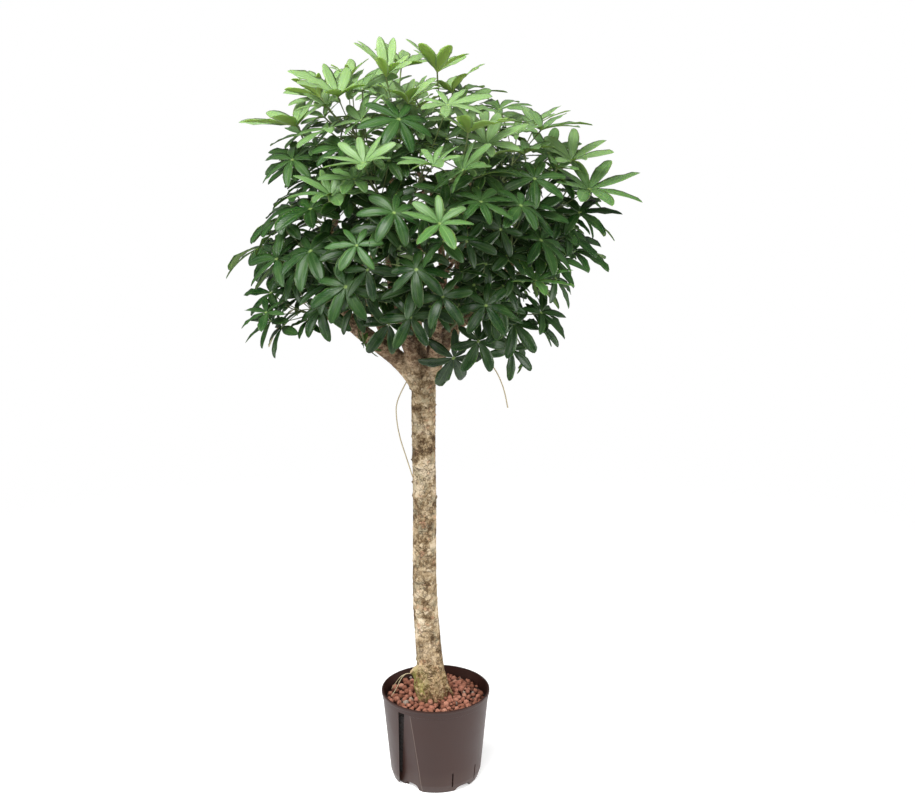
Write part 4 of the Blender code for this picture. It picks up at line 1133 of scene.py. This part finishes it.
def grow_crown(lines):
    """Place the leaves of all shoots so that none meets another, a stem or a limb."""
    wood = [guard(*tube(pts, [r + 0.003 for r in radii], 8))
            for pts, radii in lines_of(LIMBS.values()) + lines_of(AERIAL_ROOTS, AERIAL_R)]
    jobs = []
    for s, (line, (_, count, size, fresh, leads)) in enumerate(zip(lines, SHOOTS)):
        steps, radii = shoot_part(line, (0.0, 0.2, 0.4, 0.6, 0.8, 1.0))
        steps[-1] += (steps[-1] - steps[-2]).normalized() * 0.004
        wood.append(guard(*tube(steps, [r + 0.0016 for r in radii], 6), s))
        for i, (hub, long, young) in enumerate(leads):
            jobs.append((0, s, 0.985 - 0.035 * i, hub, 0.0, long, young))
        for i in range(count - len(leads)):
            u = (0.86 if leads else 0.98) - 0.115 * i
            jobs.append((1 + i, s, u, None, s * 0.9 + (i + 1) * GOLDEN, size * (1 - 0.03 * i),
                         youth(line, u, fresh, 0.2 * i)))
    jobs.sort(key=lambda job: job[:2])
    leaves, placed = [], []
    for index, (_, s, u, hub, turn, size, fresh) in enumerate(jobs):
        rng = random.Random(7000 + index)
        for tries in range(LEAF_TRIES):
            shrink = 1.0 if tries < 10 else 1.0 - 0.012 * (tries - 9)
            stalk, *blade = leaf_plan(lines[s], u, hub, turn, size * shrink, fresh, rng, tries)
            if hub is None and (hides_fork(stalk[-1]) or stalk[-1].z > CROWN_TOP):
                continue
            skip = stalk[0].lerp(stalk[1], min(0.8, 0.012 / max(0.012, (stalk[1] - stalk[0]).length)))
            own = guard(*leaf_shape([skip, *stalk[1:]], *blade, RIB, STALK_ROOM, SPREAD))
            tight = guard(*leaf_shape(blade_end(stalk), *blade, RIB, BLADE_ROOM, SPREAD))
            if not (meets(own, [other for other in wood if other[3] != s]) or meets(own, placed)
                    or meets(tight, [other for other in wood if other[3] == s])):
                placed.append(own)
                leaves.append((s, stalk, *blade, fresh))
                break
    return leaves, wood, placed


def fill_in(lines, wood, placed):
    """Smaller leaves lower on the shoots, where light still gets in between the large ones."""
    extra = []
    for s, (line, (_, _, size, fresh, _)) in enumerate(zip(lines, SHOOTS)):
        for i in range(FILL_LEAVES):
            rng = random.Random(9000 + 40 * s + i)
            u = 0.99 - 0.038 * i
            young = youth(line, u, fresh, 0.1 * i)
            for tries in range(FILL_TRIES):
                stalk, *blade = leaf_plan(line, u, None, s * 1.7 + i * GOLDEN, size * rng.uniform(0.62, 0.92),
                                          young, rng, tries)
                if hides_fork(stalk[-1]) or not FILL_FLOOR < stalk[-1].z < CROWN_TOP:
                    continue
                own = guard(*leaf_shape(blade_end(stalk), *blade, FILL_ROOM, FILL_ROOM))
                if not (meets(own, wood) or meets(own, placed)):
                    placed.append(own)
                    extra.append((s, stalk, *blade, young))
                    break
    return extra


def leaflet_blank():
    """One flat leaflet to bend: shape holds how far along, how wide and how thick each point is,
    blade the same as shares of the leaflet, for its colours."""
    stations = (0.0, 0.035, 0.08, 0.15, 0.26, 0.41, 0.57, 0.73, 0.87, 0.96)
    verts, shape, blade, faces = [], [], [], []

    def point(t, s, k):
        x = max(0.0, (t - 0.035) / 0.965)
        w = 0.1 if t < 0.035 else max(0.1 * (1 - x), (x / 0.58) ** 0.75 * ((1 - x) / 0.42) ** 0.62)
        body = 1.0 if t < 0.04 else (0.42 + 0.5 * (abs(s) < 0.1) * (k < 0)) * (1.0 - 0.5 * t)
        verts.append((t, s * w, k * 0.1))
        shape.append((t, s * w, k * body))
        blade.append((t, s, k))
        return len(verts) - 1

    top, low = [], []
    for t in stations:
        left, right = point(t, -1.0, 0.0), point(t, 1.0, 0.0)
        for rows, k in ((top, 1.0), (low, -1.0)):
            rows.append([left] + [point(t, s, k) for s in (-0.5, 0.0, 0.5)] + [right])
    tip = point(1.0, 0.0, 0.0)
    for k in range(4):
        for a, b in zip(top, top[1:]):
            faces.append((a[k + 1], b[k + 1], b[k], a[k]))
        for a, b in zip(low, low[1:]):
            faces.append((b[k], b[k + 1], a[k + 1], a[k]))
        faces += [(top[-1][k + 1], tip, top[-1][k]), (tip, low[-1][k + 1], low[-1][k])]
    faces.append(tuple(reversed(top[0] + low[0][-2:0:-1])))
    obj = new_object("leaflet_blank", verts, faces)
    mark(obj, "shape", shape)
    mark(obj, "blade", blade)
    obj.data.shade_smooth()
    return obj


def whirl_tree():
    """Bends a leaflet onto every carrier point: hub, aim, face, size, bend and turn say how."""
    tree, (carriers, leaflet, thickness, cupping, material) = group_tree(
        "whirl_of_leaflets", Leaflet="Object", Thickness="Float", Cupping="Float", Material="Material")
    flat = add(tree, "GeometryNodeObjectInfo", {"Object": leaflet}, "Geometry")
    spread = add(tree, "GeometryNodeInstanceOnPoints", {"Points": carriers, "Instance": flat})
    real = add(tree, "GeometryNodeRealizeInstances", (spread,))
    shape, size, bend, turn, hub, aim, face = (
        add(tree, "GeometryNodeInputNamedAttribute", {"Name": name}, data_type='FLOAT_VECTOR')
        for name in ("shape", "size", "bend", "turn", "hub", "aim", "face"))
    along, across, thick = shape.parts()
    length, half, fold = size.parts()
    rise, drop, sway = bend.parts()
    twist, wave, phase = turn.parts()
    span = drop - rise
    angle = span.calc('MULTIPLY_ADD', along, rise)
    sine, cosine = angle.calc('SINE'), angle.calc('COSINE')
    broad = across.calc('ABSOLUTE')
    cup = broad * fold - broad * broad * cupping
    ripple = (along * 17.0 + phase).calc('SINE') * wave * broad * broad
    ripple = ripple * (across * 1.3 + phase).calc('COSINE')
    height = thick * thickness + (cup + ripple + across * along * twist) * half
    place = hub
    for way, far in ((aim, length * (sine - rise.calc('SINE')) / span),
                     (face, length * (rise.calc('COSINE') - cosine) / span),
                     (face.vector('CROSS_PRODUCT', aim), across * half + along * along * sway * length),
                     (face.vector('SCALE', cosine).vector('SUBTRACT', aim.vector('SCALE', sine)), height)):
        place = place.vector('ADD', way.vector('SCALE', far))
    bent = add(tree, "GeometryNodeSetPosition", {"Geometry": real, "Position": place})
    return finished(tree, bent, material)


def leaf_gloss():
    mat, spot = blank_material("leaf")
    along, across, side = spot.held("blade").parts()
    fresh, tone, _ = spot.held("life").parts()
    cloud = spot.noise(38.0, 4.0)
    broad = across.calc('ABSOLUTE')
    # leaves of one age differ most halfway between new and old
    ripe = fresh - fresh * (fresh * -1.0 + 1.0) * (tone * -1.0 + 1.0) * 0.9
    lit = spot.parts()[2].mask(1.16, 1.34, 0.75) * ripe.mask(0.1, 0.55, 1.0)
    # painted shade: deep inside the crown the leaves are darkened, where shade falls between them
    inner = spot.vector('DISTANCE', tuple(CROWN), "Value").mask(0.29, 0.18, 0.75)
    veins = ((along - broad * 0.22) * 42.0).calc('SINE').calc('ABSOLUTE')
    rib = broad.mask(0.07, 0.02, 1.0) * fresh.mask(-0.25, 0.8, 0.42)
    green = layered(
        ripe.ramp((0.0, 6, 38, 6), (0.3, 38, 74, 28), (0.55, 60, 98, 48), (0.8, 66, 100, 52),
                  (1.0, 122, 144, 88)),
        (tone.mask(0.3, 1.0, 0.5), (48, 82, 40)),
        (cloud.mask(0.35, 0.75, 0.22), (84, 114, 58)),
        (lit, (122, 150, 98)),
        # painted shade inside the crown
        (inner, (146, 158, 132), 'MULTIPLY'),
        (veins.mask(0.22, 0.0, 0.2) * broad.mask(0.98, 0.8, 1.0), (122, 156, 98)),
        (rib, (142, 172, 100)),
        # pale margins: the leaflet's own lighter edge, strengthened as a painted highlight along the rim
        (broad.mask(0.91, 0.98, 0.4), (128, 156, 92)),
        (along.mask(0.07, 0.03, 0.9), (128, 152, 84)),
        (side.mask(-0.35, -0.95, 0.85), fresh.mix((92, 120, 60), (150, 174, 84))))
    grain = spot.noise(700.0, 3.0) * 0.25 - veins.mask(0.5, 0.0, 1.0) * 0.5 - rib * 0.8
    dull = cloud.mask(0.3, 0.7, 0.36, 0.24) + side.mask(-0.35, -0.95, 0.25)
    return coat(mat, {"Base Color": green, "Roughness": dull, "Specular IOR Level": 0.23,
                      "Subsurface Weight": fresh.mask(-0.2, 0.9, 0.4),
                      "Subsurface Radius": (0.8, 1.0, 0.3), "Subsurface Scale": 0.002}, (0.5, 0.0007, grain))


def carrier_object(name, leaves, rng):
    """One point for each leaflet of these leaves, with all that the whirl tree asks for."""
    points = []
    for _, stalk, normal, leaflets, fresh in leaves:
        u, v = leaf_frame(stalk, normal)
        tone = rng.random()
        for az, length, rise, drop, half in leaflets:
            points.append({
                "hub": stalk[-1] - normal * 0.0004, "aim": toward(u, v, az), "face": normal,
                "size": (length, half * rng.uniform(0.95, 1.12), rng.uniform(0.3, 0.52) * (1 - 0.3 * fresh)),
                "bend": (rise, drop, rng.uniform(-0.12, 0.12)),
                "turn": (rng.uniform(-0.6, 0.6), rng.uniform(0.05, 0.26), rng.uniform(0, 6.28)),
                "life": (fresh, 0.6 * tone + 0.4 * rng.random(), rng.random())})
    obj = new_object(name, [point["hub"] for point in points])
    for key in points[0]:
        mark(obj, key, [point[key] for point in points])
    return obj


def make_shoots(lines, leaves):
    blank = leaflet_blank()
    whirl, sweep = whirl_tree(), bpy.data.node_groups["swept_tubes"]
    leaf = leaf_gloss()
    green = cloudy("stalk", 60.0, (70, 84, 44), (104, 116, 64), 0.5, 0.3, (140, 162, 84))
    for s, line in enumerate(lines):
        own = [one for one in leaves if one[0] == s]
        name = "leafy_shoot_%02d" % (s + 1)
        blades = run_tree(carrier_object(name, own, random.Random(500 + s)), whirl, Leaflet=blank,
                          Thickness=BLADE_T, Cupping=CUPPING, Material=leaf)
        stem, radii = shoot_part(line, [TWIG_END + (1 - TWIG_END) * i / 12 for i in range(13)])
        stem[0] = stem[0] + (stem[0] - bezier(*line[:3], 0.22)).normalized() * GAP
        paths = [(stem, radii)]
        for _, (foot, knee, hub), *_ in own:
            mid = knee * 2 - (foot + hub) / 2
            paths.append(([bezier(foot, mid, hub, k / 8) for k in range(9)],
                          [0.0015 - 0.0006 * math.sin(math.pi * min(1.0, k / 7)) for k in range(9)]))
        join(blades, swept(name + "_stems", paths, 7, green, sweep))
        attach(blades, "root")
        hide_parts("shoot_%02d" % (s + 1))
    bpy.data.objects.remove(blank, do_unlink=True)


leaves, wood, placed = grow_crown(shoots)
leaves += fill_in(shoots, wood, placed)
make_shoots(shoots, leaves)
